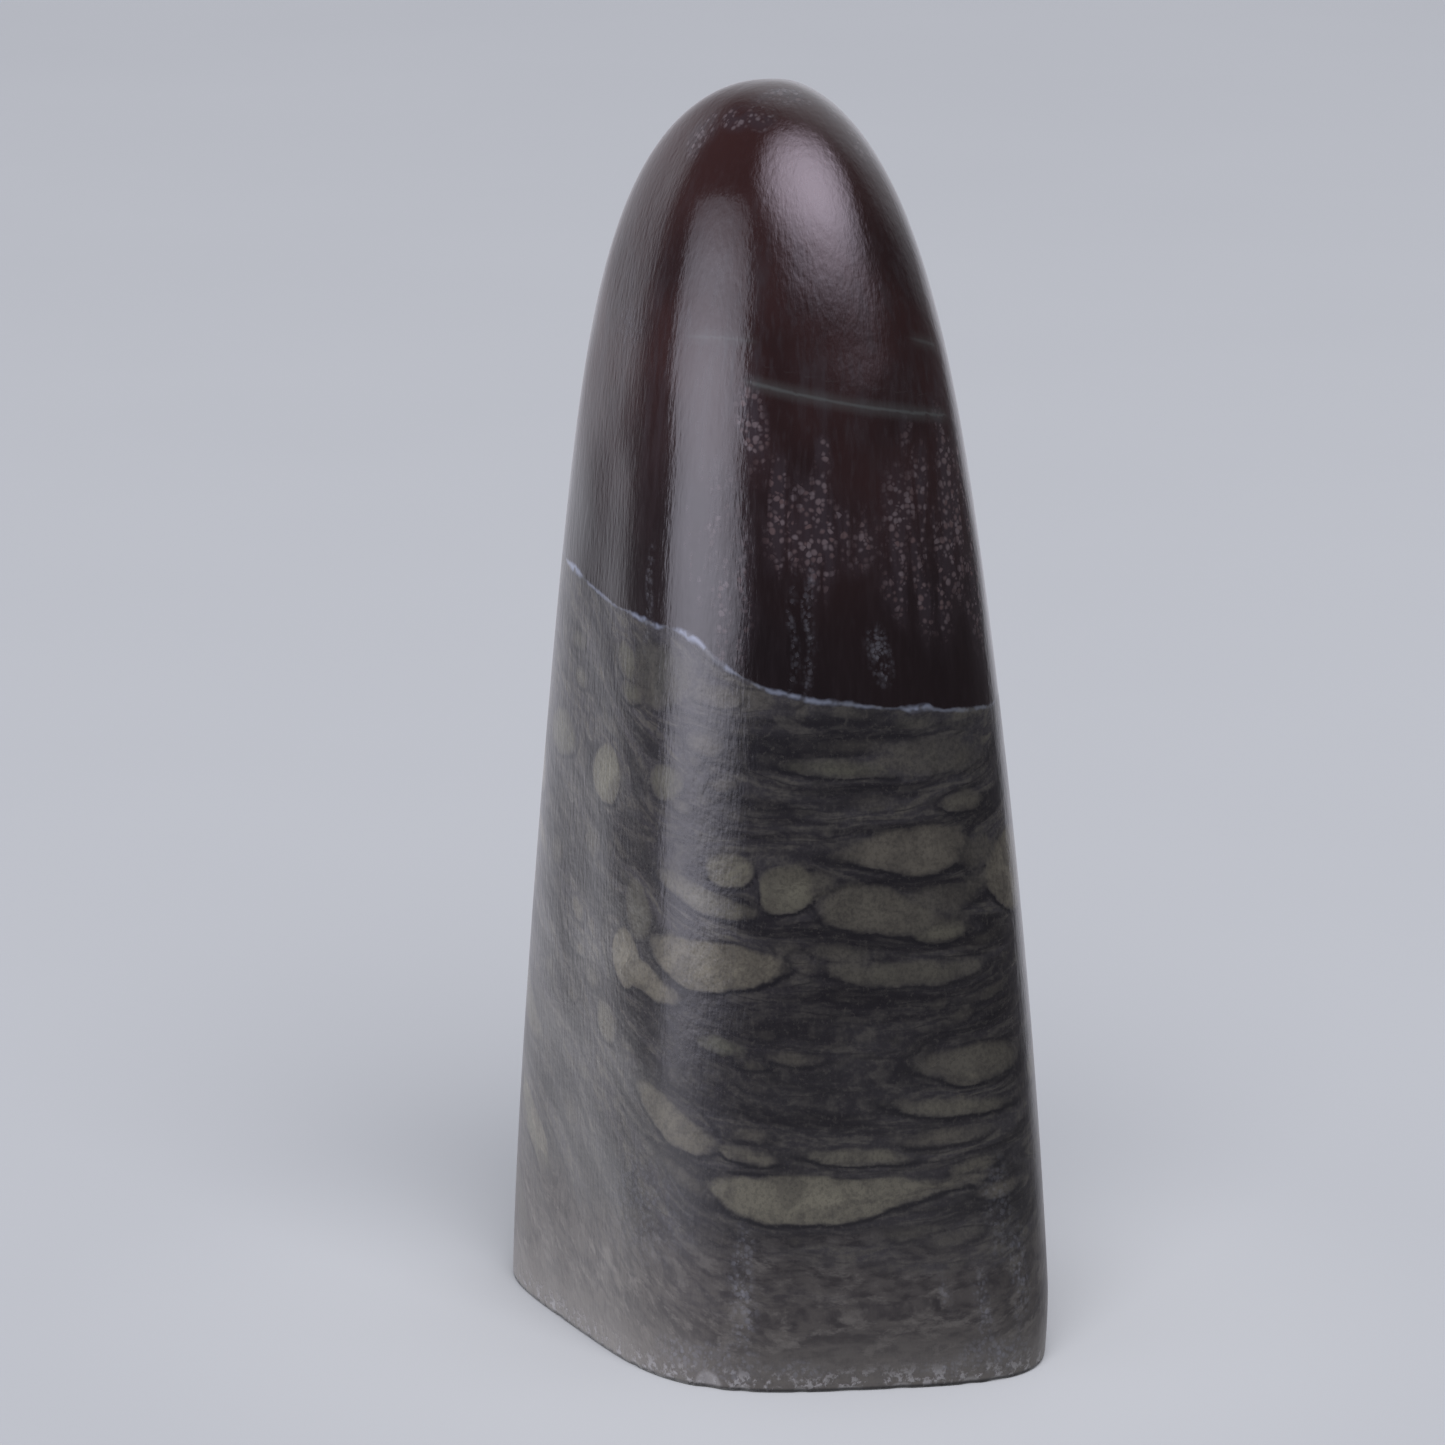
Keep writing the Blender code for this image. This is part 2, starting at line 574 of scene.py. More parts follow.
def chip_depth(angle, height, radius):
    """How deep the chips are at each point, and how near it is to one, from 0 to 1."""
    depth = np.zeros_like(angle)
    nearness = np.zeros_like(angle)
    for at, half_width, chip_height, deepest in CHIPS:
        turn = np.angle(np.exp(1j * (angle - math.radians(at))))
        away = np.hypot(turn * radius / half_width, height / chip_height)
        depth = np.maximum(depth, deepest * np.maximum(0.0, 1 - away**2))
        nearness = np.maximum(nearness, np.clip(CHIP_HALO - away, 0, 1))
    return depth, nearness


print("chips:", len(CHIPS), "the deepest is", max(chip[3] for chip in CHIPS), "mm")


# %% Draw the stone out from a ball
RING_POINTS = 320
COARSE = 2


def make_ball():
    """A fine ball's mesh, with one flat face in place of its lower pole."""
    ball = bmesh.new()
    bmesh.ops.create_uvsphere(
        ball, u_segments=RING_POINTS // COARSE, v_segments=RINGS // COARSE, radius=1.0
    )
    pole = min(ball.verts, key=lambda vert: vert.co.z)
    bmesh.ops.dissolve_verts(ball, verts=[pole])
    bmesh.ops.subdivide_edges(ball, edges=ball.edges, cuts=COARSE - 1, use_grid_fill=True)
    mesh = bpy.data.meshes.new("polished_liver_jade")
    ball.to_mesh(mesh)
    ball.free()
    return mesh


def draw_out(mesh):
    """Where the ball's points go on the stone, and how near each is to a chip."""
    unit = np.empty(len(mesh.vertices) * 3)
    mesh.vertices.foreach_get("co", unit)
    unit = unit.reshape(-1, 3)
    ring = np.arccos(np.clip(-unit[:, 2], -1, 1)) / math.pi * RINGS - 1
    share = np.clip(np.interp(ring, np.arange(RINGS), shares), 0, 1)
    angle = np.arctan2(unit[:, 1], unit[:, 0])
    height = share * stone_size.z
    radius = level_radius(angle, share)
    depth, nearness = chip_depth(angle, height, radius)
    radius = radius - edge_inset(angle, height) - depth
    across = radius * np.cos(angle) + LEAN[0] * share
    back = radius * np.sin(angle) + LEAN[1] * share
    return np.column_stack((across, back, height)), nearness


stone_mesh = make_ball()
places, chip_nearness = draw_out(stone_mesh)
print("stone points:", len(places), "near a chip:", int((chip_nearness > 0).sum()))


# %% Fit the form to the frame
SHARP_ANGLE = math.radians(50)


def fit_to_frame(places):
    """Moves and scales the points so that their box is the frame's box, in millimetres."""
    low = places.min(axis=0)
    high = places.max(axis=0)
    share = (places - low) / (high - low)
    frame_low = np.array(low_corner) / MM
    frame_high = np.array(high_corner) / MM
    print("the form is stretched by", np.round((frame_high - frame_low) / (high - low), 4))
    return frame_low + share * (frame_high - frame_low)


places = fit_to_frame(places)
stone_mesh.vertices.foreach_set("co", (places * MM).ravel())
stone_mesh.shade_smooth()
stone_mesh.set_sharp_from_angle(angle=SHARP_ANGLE)
stone_mesh.update()
stone = bpy.data.objects.new("polished_liver_jade", stone_mesh)
bpy.context.scene.collection.objects.link(stone)
light_only(left_box, stone)
light_only(round_box, stone)
print("stone triangles:", sum(len(face.vertices) - 2 for face in stone_mesh.polygons))


# %% [markdown]
# ## Laying out the markings
#
# The markings are real places in the rock, so each one has to sit on the stone itself. The eye
# meets a marking at a distance across and up from the middle of the view. A straight line from
# the eye through that point is followed until it meets the stone, and that is where the marking
# lies. The mesh's points then note how deep they are inside the nearest marking, in
# millimetres, and the finish reads those notes. Nothing is painted flat on the view, so a
# flake that wraps the corner looks right from the side too.

# %% Follow lines from the eye to the stone
search = BVHTree.FromPolygons(
    [Vector(place) * MM for place in places],
    [tuple(face.vertices) for face in stone_mesh.polygons if len(face.vertices) < 5],
)


def meet(across, up):
    """Where the eye meets the stone, at these millimetres from the view's middle."""
    through = aim + rightward * across * MM + upward * up * MM
    hit, normal, _, _ = search.ray_cast(eye, (through - eye).normalized())
    if hit is None:
        raise ValueError(f"the eye misses the stone at {across}, {up}")
    return hit / MM, normal


middle_hit, middle_normal = meet(0, 0)
print("the view's middle is at", [round(v, 1) for v in middle_hit])


# %% Turn a marking to lie on the surface
UPRIGHT = Vector((0, 0, 1))


def lens_axes(normal, tilt):
    """The along, up and out directions of a marking that lies on the surface."""
    along = normal.cross(UPRIGHT).normalized()
    if along.dot(rightward) < 0:
        along.negate()
    rise = along.cross(normal).normalized()
    if rise.z < 0:
        rise.negate()
    turn = math.radians(tilt)
    tilted_along = along * math.cos(turn) + rise * math.sin(turn)
    tilted_rise = rise * math.cos(turn) - along * math.sin(turn)
    return tilted_along, tilted_rise, normal.normalized()


middle_axes = lens_axes(middle_normal, 0)
print("a level marking in the middle runs along", [round(v, 2) for v in middle_axes[0]])


# %% Note how deep each point is in a lens-shaped marking
RIPPLE = 0.11
THICKEST_RIPPLE = 1.2
LONG_WAVE = 0.9
SHORT_WAVE = 2.3
SHORT_SHARE = 0.35
SIDE_WAVE = 1.1
SIDE_SHARE = 1.5
THINNEST = 0.3
THICKEST = 1.7
SHALLOWEST = 3.0


def lens_at(centre, axes, half, bow=0.0, lean=0.0, point=2.0, wave=0.0):
    """Depth of each point in a lens in millimetres, less than 0 outside, and its rise in it.

    bow bends the lens down in its middle, lean makes its right end thicker and its left end
    thinner, a point below 2 draws its two ends out, and wave starts a gentle waviness.
    """
    away = places - np.array(centre)
    along, rise, out = (away @ np.array(axis) for axis in axes)
    ripple = RIPPLE * min(half[1], THICKEST_RIPPLE)
    short_ripple = SHORT_SHARE * np.sin(SHORT_WAVE * along + 2 * wave)
    rise = rise + ripple * (np.sin(LONG_WAVE * along + wave) + short_ripple)
    along = along + SIDE_SHARE * ripple * np.sin(SIDE_WAVE * rise + 3 * wave)
    run = along / half[0]
    rise = rise + bow * (1 - np.minimum(run**2, 2))
    thin_side = half[1] * np.clip(1 + lean * run, THINNEST, THICKEST)
    rise_share = rise / thin_side
    out_share = out / max(half[0], SHALLOWEST)
    reach = np.sqrt(np.abs(run) ** point + rise_share**2 + out_share**2)
    depth = (1 - reach) * np.minimum(thin_side, half[0]) * np.clip(reach, 0.6, 1.6)
    return depth, rise_share


lens_test, _ = lens_at(middle_hit, middle_axes, (2, 1))
print("a test lens is", round(float(lens_test.max()), 2), "mm deep at its middle")


# %% Tilt the layers and bend them round the lenses
LAYER_DIP = math.radians(34)
BEND_REACH = 1.4
LEAST_REACH = 0.3
BEND_TURN = 1.5

layer_level = places[:, 2] * math.cos(LAYER_DIP) - places[:, 1] * math.sin(LAYER_DIP)


def bend_layers(depth, rise_share, half_height):
    """Pushes the layers up above a lens and down below it, less and less further out."""
    nearness = np.exp(np.minimum(depth, 0) / (BEND_REACH * half_height + LEAST_REACH))
    layer_level[:] -= half_height * np.tanh(BEND_TURN * rise_share) * nearness


print("the layers dip by", round(math.degrees(LAYER_DIP)), "degrees to the front")


# %% [markdown]
# ## The flakes
#
# The lower rock is full of flattened grey green flakes, from specks to ones as long as a
# fingernail, lying along its layers. Scattered noise could fill the rock with flakes, but the
# large ones give this stone its face, so they are laid out one by one. Each has its place, its
# half width and half thickness as the eye meets them, its tilt and how pale it is. On the
# narrow left face the eye looks along the surface, so a width there is widened to its real
# size.

# %% Lay out the flakes of the broad front face
def flake(across, up, half_width, half_height, tilt=0, pale=0.6, green=0.3, **shape):
    """One flake, as the eye meets it: millimetres across and up, its tones and its shape."""
    return {
        "at": (across, up),
        "half": (half_width, half_height),
        "tilt": tilt,
        "pale": pale,
        "green": green,
        "shape": shape,
    }


FRONT_FLAKES = (
    flake(9.5, 0.7, 2.1, 0.5, tilt=-4, pale=0.30, green=0.9),
    flake(14.5, 0.1, 1.8, 0.6, pale=0.32, green=0.8),
    flake(9.8, -1.7, 3.0, 0.6, pale=0.25, green=0.5),
    flake(8.9, -3.5, 4.6, 0.75, tilt=-5, pale=0.66, green=0.9, point=1.6),
    flake(15.7, -2.5, 4.2, 1.5, pale=0.27, green=0.5),
    flake(18.1, -5.9, 1.6, 0.85, pale=0.62, green=0.3),
    flake(11.0, -6.0, 2.2, 0.7, pale=0.15, green=0.2),
    flake(13.8, -9.6, 5.0, 1.8, tilt=1, pale=0.66, green=0.1, lean=0.35, point=1.7),
    flake(18.9, -9.6, 1.6, 1.3, pale=0.35, green=0.2),
    flake(21.6, -10.8, 1.2, 3.2, pale=0.78, green=0.1, point=1.6),
    flake(4.7, -12.6, 2.1, 1.8, tilt=4, pale=0.80, green=0.5, point=3.2),
    flake(7.3, -12.2, 1.5, 1.1, pale=0.42, green=0.4, point=1.6),
    flake(12.2, -14.2, 5.2, 1.8, tilt=-10, pale=0.58, green=0.3, lean=-0.35, point=1.7),
    flake(16.6, -13.1, 3.4, 1.2, tilt=8, pale=0.34, green=0.3, point=1.7),
    flake(18.6, -12.2, 1.5, 0.7, tilt=10, pale=0.33, green=0.3),
    flake(16.5, -15.6, 2.0, 0.9, pale=0.74, green=0.5),
    flake(19.6, -16.2, 1.6, 0.6, tilt=14, pale=0.25, green=0.3),
    flake(13.8, -18.4, 6.0, 1.0, tilt=-1, pale=0.58, green=0.5, bow=0.5),
    flake(8.8, -17.3, 2.6, 0.7, tilt=-6, pale=0.45, green=0.5),
    flake(6.2, -18.2, 1.2, 0.6, tilt=-18, pale=0.33, green=0.2),
    flake(4.8, -16.8, 1.0, 0.6, pale=0.28, green=0.2),
    flake(20.4, -19.9, 1.7, 0.5, tilt=14, pale=0.33, green=0.3),
    flake(-0.9, -17.6, 5.2, 1.9, tilt=-3, pale=0.95, green=0.15, bow=0.75, lean=-0.1, point=1.8),
    flake(-7.3, -17.7, 1.0, 2.3, tilt=20, pale=0.90, green=0.15),
    flake(-5.8, -19.0, 2.5, 1.15, tilt=-14, pale=0.90, green=0.15, bow=0.3, lean=-0.2),
    flake(-6.4, -14.0, 1.0, 2.3, pale=0.40, green=0.6),
    flake(-1.6, -13.0, 3.9, 0.95, tilt=-16, pale=0.82, green=0.4, bow=0.2),
    flake(0.4, -11.0, 1.8, 1.35, pale=0.88, green=0.4),
    flake(0.0, -24.3, 2.0, 0.7, tilt=-14, pale=0.66, green=1.0, lean=-0.3),
    flake(2.1, -25.7, 1.2, 0.45, tilt=-6, pale=0.45, green=0.5),
    flake(2.4, -27.5, 1.1, 0.4, tilt=-16, pale=0.28, green=0.2),
    flake(3.0, -23.5, 0.9, 0.5, pale=0.30, green=0.3),
    flake(5.4, -25.2, 2.3, 0.6, tilt=-3, pale=0.48, green=0.3),
    flake(18.4, -25.5, 4.3, 1.5, pale=0.58, green=0.3, lean=0.3, point=1.6),
    flake(18.9, -26.3, 2.0, 0.8, pale=0.80, green=0.2),
    flake(17.1, -28.6, 4.6, 0.75, tilt=-3, pale=0.78, green=0.4, bow=0.25, point=1.7),
    flake(16.8, -31.1, 3.0, 0.75, tilt=3, pale=0.62, green=0.2),
    flake(2.0, -31.0, 1.7, 0.55, pale=0.48, green=0.2),
    flake(-3.8, -29.7, 3.2, 1.4, tilt=-24, pale=0.78, green=0.2, bow=0.3, point=1.9),
    flake(-2.8, -34.2, 2.2, 0.7, tilt=-26, pale=0.30, green=0.2),
    flake(1.9, -32.5, 2.2, 0.65, tilt=-12, pale=0.80, green=0.3, point=1.7),
    flake(10.1, -32.6, 3.9, 0.7, tilt=-4, pale=0.84, green=0.4, point=1.7),
    flake(18.9, -33.2, 1.9, 0.6, tilt=8, pale=0.78, green=0.3),
    flake(16.9, -34.7, 3.4, 0.5, tilt=9, pale=0.80, green=0.2, point=1.6),
    flake(7.9, -35.0, 8.8, 1.8, tilt=1, pale=1.0, green=0.35, bow=0.85, lean=-0.38, point=1.8),
    flake(20.8, -34.9, 1.7, 0.7, tilt=6, pale=0.66, green=0.0),
    flake(14.0, -38.2, 2.4, 0.6, tilt=4, pale=0.48, green=0.4),
    flake(17.4, -38.7, 2.1, 0.6, tilt=6, pale=0.50, green=0.4),
)
print("flakes in front:", len(FRONT_FLAKES))

# %% Lay out the flakes of the narrow left face
LEFT_FLAKES = (
    flake(-12.0, -0.7, 1.0, 1.8, pale=0.60, green=0.7),
    flake(-8.7, -3.9, 1.05, 2.3, pale=0.85, green=0.5),
    flake(-7.2, 4.6, 0.75, 1.4, pale=0.60, green=0.7),
    flake(-6.8, 2.2, 0.9, 0.8, pale=0.60, green=0.8),
    flake(-4.9, 3.6, 2.2, 2.6, pale=0.22, green=1.0),
    flake(-3.8, 4.6, 1.0, 0.7, pale=0.52, green=0.9),
    flake(-4.4, -4.5, 1.2, 1.4, pale=0.62, green=0.7),
    flake(-3.0, -6.4, 0.9, 0.5, tilt=-10, pale=0.55, green=0.2),
    flake(-0.7, 2.0, 1.9, 0.9, pale=0.45, green=0.0),
    flake(-1.3, -1.6, 1.5, 0.9, pale=0.48, green=0.0),
    flake(-0.2, -4.7, 1.2, 0.5, pale=0.48, green=0.0),
    flake(-10.7, 6.2, 0.6, 0.8, pale=0.50, green=0.7),
    flake(-10.6, 3.4, 0.5, 0.8, tilt=-20, pale=0.50, green=0.6),
    flake(-10.8, -14.1, 0.55, 0.8, tilt=-25, pale=0.60, green=0.2),
    flake(-10.7, -17.0, 0.35, 0.5, pale=0.60, green=0.2),
    flake(-9.8, -19.0, 0.6, 0.9, pale=0.42, green=0.2),
    flake(-11.2, -20.3, 0.4, 0.6, pale=0.50, green=0.3),
    flake(-8.7, -22.4, 0.8, 1.4, tilt=-25, pale=0.70, green=0.3),
    flake(-12.4, -9.5, 0.5, 1.2, tilt=-25, pale=0.30, green=0.3),
    flake(-9.8, -9.0, 0.6, 1.2, tilt=-25, pale=0.30, green=0.3),
    flake(-12.9, -18.4, 0.4, 1.0, tilt=-25, pale=0.32, green=0.3),
    flake(-13.6, -32.6, 0.4, 1.2, tilt=-10, pale=0.40, green=0.3),
    flake(-11.4, -29.0, 0.5, 1.0, tilt=-25, pale=0.25, green=0.2),
)
print("flakes on the left:", len(LEFT_FLAKES))


# %% Lay them on the stone
LEAST_SEEN = 0.25
FAR_OUTSIDE = 9.0


def lens_of(marking):
    """A marking's centre, axes and real half sizes on the stone."""
    centre, normal = meet(*marking["at"])
    axes = lens_axes(normal, marking["tilt"])
    level = normal.cross(UPRIGHT).normalized()
    seen_share = max(LEAST_SEEN, abs(level.dot(rightward)))
    half = (marking["half"][0] / seen_share, marking["half"][1])
    return centre, axes, half


def bare_notes():
    """The notes of a stone without flakes: every point is far outside of one."""
    notes = {name: np.zeros(len(places)) for name in ("depth", "rise", "pale", "green")}
    notes["depth"] -= FAR_OUTSIDE
    return notes


def lay_flake(notes, centre, axes, half, bulge, pale, green, **shape):
    """Adds one flake to the notes, where it is nearer than those before it."""
    depth, rise_share = lens_at(centre, axes, half, **shape)
    bend_layers(depth, rise_share, bulge)
    nearer = depth > notes["depth"]
    notes["depth"][nearer] = depth[nearer]
    notes["rise"][nearer] = rise_share[nearer]
    notes["pale"][nearer] = pale
    notes["green"][nearer] = green


laid = bare_notes()
for number, one in enumerate(FRONT_FLAKES + LEFT_FLAKES):
    centre, axes, half = lens_of(one)
    bulge = half[1] * (0.4 + 0.6 * one["pale"])
    tones = {"pale": one["pale"], "green": one["green"]}
    lay_flake(laid, centre, axes, half, bulge, wave=number, **tones, **one["shape"])
print("points in a flake:", round(100 * np.mean(laid["depth"] > 0), 1), "%")


# %% [markdown]
# ## Scattered flakes
#
# The eye never meets the back and the right side, but the rock goes on there. Flakes of the same
# kinds are scattered over those sides by a seeded chance, so that they come out the same each
# time. They slope with the layers. Small, faint flakes are scattered all round in the same way. A
# scattered flake that would lie too near to a listed one is left out, so that it never lengthens
# it.

# %% Draw a flake by chance
FAR_KIND = {"count": 95, "round": (-38, 158), "least": 1.2, "more": 5.5, "tone": (0.3, 0.95)}
SMALL_KIND = {"count": 150, "round": (-180, 180), "least": 0.5, "more": 1.3, "tone": (0.12, 0.5)}
SCATTER_HEIGHTS = (7.0, 52.0)
SLIMNESS = (0.16, 0.34)
SLIMMEST = 0.25
FEW_LONG = 2.2
GREENNESS = (0.1, 0.7)
BOW = (-0.2, 0.5)
LEANING = (-0.35, 0.35)
POINTED = (1.5, 2.1)
TILT_SPREAD = 6
OUTSIDE = 60
SEED = 7
chance = np.random.default_rng(SEED)


def chance_flake(kind):
    """One flake of a kind on the stone: its centre, axes, half sizes, tones and shape."""
    angle = math.radians(chance.uniform(*kind["round"]))
    height = chance.uniform(*SCATTER_HEIGHTS)
    half_length = kind["least"] + kind["more"] * chance.random() ** FEW_LONG
    half = (half_length, half_length * chance.uniform(*SLIMNESS) + SLIMMEST)
    start = Vector((math.cos(angle) * OUTSIDE, math.sin(angle) * OUTSIDE, height)) * MM
    inward = Vector((-math.cos(angle), -math.sin(angle), 0))
    hit, normal, _, _ = search.ray_cast(start, inward)
    tones = {"pale": chance.uniform(*kind["tone"]), "green": chance.uniform(*GREENNESS)}
    shape = {
        "bow": chance.uniform(*BOW) * half[1],
        "lean": chance.uniform(*LEANING),
        "point": chance.uniform(*POINTED),
    }
    slope = math.degrees(LAYER_DIP) * lens_axes(normal, 0)[0].y
    axes = lens_axes(normal, slope + chance.normal(0, TILT_SPREAD))
    return hit / MM, axes, half, tones, shape


print("to scatter:", FAR_KIND["count"], "far flakes and", SMALL_KIND["count"], "small ones")


# %% Scatter flakes where there is room
ROOM_BETWEEN = 0.9

scattered = bare_notes()
kinds = [FAR_KIND] * FAR_KIND["count"] + [SMALL_KIND] * SMALL_KIND["count"]
left_out = 0
for number, kind in enumerate(kinds):
    centre, axes, half, tones, shape = chance_flake(kind)
    nearest_point = np.argmin(((places - np.array(centre)) ** 2).sum(axis=1))
    if laid["depth"][nearest_point] > -ROOM_BETWEEN:
        left_out += 1
        continue
    bulge = half[1] * tones["pale"]
    lay_flake(scattered, centre, axes, half, bulge, wave=number, **tones, **shape)
scattered_wins = scattered["depth"] > laid["depth"]
flakes = {name: np.where(scattered_wins, scattered[name], laid[name]) for name in laid}
print("scattered flakes:", len(kinds) - left_out, "left out:", left_out)


# %% [markdown]
# ## The joint of the two rocks
#
# The joint is a nearly flat plane through the stone that dips to the front right, with a small
# step at the near corner and a faint wave along the front. A plane needs only three numbers,
# and it gives the right line on all four faces at once. The mesh's points note their height
# above it.

# %% Note the height above the joint
JOINT_HEIGHT = 54.0
JOINT_SLOPE_X = -0.22
JOINT_SLOPE_Y = 0.11
FRONT_BEGINS = -5.0
STEP_PLACE = -9.0
STEP_HEIGHT = 1.1
STEP_WIDTH = 1.9
WAVE_CREST = 12
WAVE_HEIGHT = 0.5
WAVE_LENGTH = 25

joint_level = JOINT_HEIGHT + JOINT_SLOPE_X * places[:, 0] + JOINT_SLOPE_Y * places[:, 1]
on_front = 1 / (1 + np.exp(places[:, 1] - FRONT_BEGINS))
from_step = (places[:, 0] - STEP_PLACE) / STEP_WIDTH
joint_level += STEP_HEIGHT * on_front * np.exp(-(from_step**2))
along_wave = (places[:, 0] - WAVE_CREST) * 2 * math.pi / WAVE_LENGTH
joint_level += WAVE_HEIGHT * on_front * np.cos(along_wave)
above_joint = places[:, 2] - joint_level
print("points above the joint:", round(100 * np.mean(above_joint > 0)), "%")


# %% [markdown]
# ## Specks, pale rubs and dark bands
#
# Fine pinkish specks gather in upright streaks in the dark rock, dark bands lie between the
# flakes, and pale rubbed spots lie along the lower edge. The vein along the joint swells in a
# few places. All are laid out as soft patches, by the same lens rule as the flakes.

# %% Lay out the specks and the rubs
def patch(across, up, half_width, half_height, strength=1.0, tilt=0):
    """One soft patch, as the eye meets it, in millimetres, and how strong it is."""
    marking = flake(across, up, half_width, half_height, tilt=tilt)
    marking["strength"] = strength
    return marking


SPECK_PATCHES = (
    patch(2.6, 21.4, 0.9, 2.8, 0.9, tilt=14),
    patch(4.6, 17.3, 1.0, 2.4, 0.7, tilt=20),
    patch(5.0, 14.6, 1.4, 2.6, 0.8),
    patch(7.3, 14.2, 1.0, 3.2, 0.9),
    patch(7.6, 20.0, 0.5, 0.9, 0.8),
    patch(9.7, 14.2, 1.1, 2.0, 0.75),
    patch(13.3, 13.6, 1.1, 3.8, 0.8),
    patch(15.5, 13.6, 1.3, 4.8, 0.95),
    patch(14.2, 20.2, 0.5, 2.0, 0.5),
    patch(18.6, 14.6, 0.7, 7.0, 0.7),
    patch(17.0, 16.5, 0.7, 5.0, 0.8),
    patch(1.0, 45.4, 0.7, 0.8, 1.0),
    patch(2.8, 45.4, 0.8, 0.8, 1.0),
    patch(-1.6, 44.1, 0.6, 1.2, 0.8, tilt=-20),
    patch(5.2, 47.0, 1.8, 0.7, 0.9),
    patch(10.3, 44.2, 0.6, 2.0, 0.8, tilt=42),
    patch(-0.6, 13.7, 1.8, 4.5, 0.45),
    patch(0.6, 9.0, 1.2, 4.0, 0.5),
)
RUB_PATCHES = (
    patch(1.5, -43.0, 0.7, 3.8, 1.0),
    patch(19.6, -43.8, 0.4, 2.4, 1.0),
    patch(22.3, -41.5, 0.5, 3.0, 1.0),
    patch(16.6, -42.7, 0.3, 1.2, 0.8),
    patch(20.7, -36.5, 0.8, 3.0, 0.55),
    patch(11.8, 5.0, 0.65, 1.6, 0.8),
    patch(5.3, 6.6, 0.2, 3.8, 0.45),
    patch(6.5, 7.0, 0.28, 4.4, 0.6),
    patch(-7.0, 29.8, 0.8, 1.2, 0.35),
    patch(-5.5, 9.6, 0.2, 3.2, 0.45),
    patch(4.6, 47.4, 0.9, 0.4, 0.6),
    patch(0.3, -48.0, 2.0, 1.1, 1.0),
    patch(-3.2, -47.3, 1.4, 0.9, 1.0),
    patch(5.9, -48.6, 1.6, 0.6, 0.9),
    patch(20.7, -47.4, 2.2, 1.1, 1.0),
    patch(16.5, -48.4, 1.4, 0.6, 0.8),
    patch(-6.0, -36.5, 2.2, 3.4, 0.35),
)
print("speck patches:", len(SPECK_PATCHES), "rubs:", len(RUB_PATCHES))

# %% Lay out the dark bands and the swellings of the vein
DARK_PATCHES = (
    patch(10.5, -21.3, 13.5, 1.8, 1.0),
    patch(8.0, -0.9, 9.0, 1.1, 0.7),
    patch(6.0, -5.1, 5.0, 0.7, 0.6),
    patch(5.5, -28.6, 8.0, 3.4, 0.95),
    patch(11.5, -23.6, 8.0, 0.9, 0.7),
    patch(-3.5, -23.6, 4.5, 1.3, 0.9, tilt=-30),
    patch(-6.4, -9.5, 3.5, 0.8, 0.8, tilt=-34),
    patch(-3.2, -8.8, 2.5, 1.3, 0.9, tilt=-30),
    patch(-10.5, -9.5, 2.5, 1.4, 0.8, tilt=-34),
    patch(16.0, -36.8, 5.5, 0.6, 0.7),
    patch(16.5, -29.9, 4.5, 0.5, 0.9),
    patch(15.0, -27.1, 5.0, 0.5, 0.9),
    patch(12.0, -16.6, 7.5, 0.6, 0.9),
    patch(7.0, -10.2, 6.0, 0.6, 0.8, tilt=-14),
    patch(6.5, -38.2, 7.5, 0.6, 0.6),
)
VEIN_PATCHES = (
    patch(-11.2, 11.6, 0.5, 1.2, 0.9),
    patch(-9.4, 10.3, 1.0, 1.2, 0.4),
    patch(-5.8, 7.6, 0.9, 1.2, 0.8),
    patch(-2.4, 6.3, 1.0, 1.4, 1.0),
    patch(-0.6, 5.3, 1.5, 1.4, 0.8),
    patch(5.8, 1.8, 2.6, 1.4, 0.6),
    patch(10.4, 1.3, 1.5, 1.2, 0.35),
    patch(14.6, 1.2, 0.9, 1.2, 0.8),
    patch(18.2, 1.1, 2.4, 1.2, 0.25),
)
print("dark bands:", len(DARK_PATCHES), "swellings of the vein:", len(VEIN_PATCHES))


# %% Note how strongly each point belongs to them
def patch_strength(markings, softness):
    """How strongly each point of the mesh belongs to the patches, from 0 to 1."""
    strength = np.zeros(len(places))
    for marking in markings:
        centre, axes, half = lens_of(marking)
        depth, _ = lens_at(centre, axes, half)
        edge = np.clip(0.5 + depth / (2 * softness * min(half)), 0, 1)
        strength = np.maximum(strength, marking["strength"] * edge)
    return strength


patch_notes = {
    "specks": patch_strength(SPECK_PATCHES, softness=1.5),
    "rubs": patch_strength(RUB_PATCHES, softness=0.9),
    "dark_bands": patch_strength(DARK_PATCHES, softness=0.8),
    "vein_patches": patch_strength(VEIN_PATCHES, softness=0.9),
}
print("points:", {name: int((values > 0.1).sum()) for name, values in patch_notes.items()})


# %% [markdown]
# ## Thin lines
#
# Thin lines, such as the hair veins and the dark seams, are laid out as a few points each. A
# point of the mesh notes on which side of the line it lies and how far from it, because a
# distance with a sign stays true between the mesh's points, where a plain distance would not.

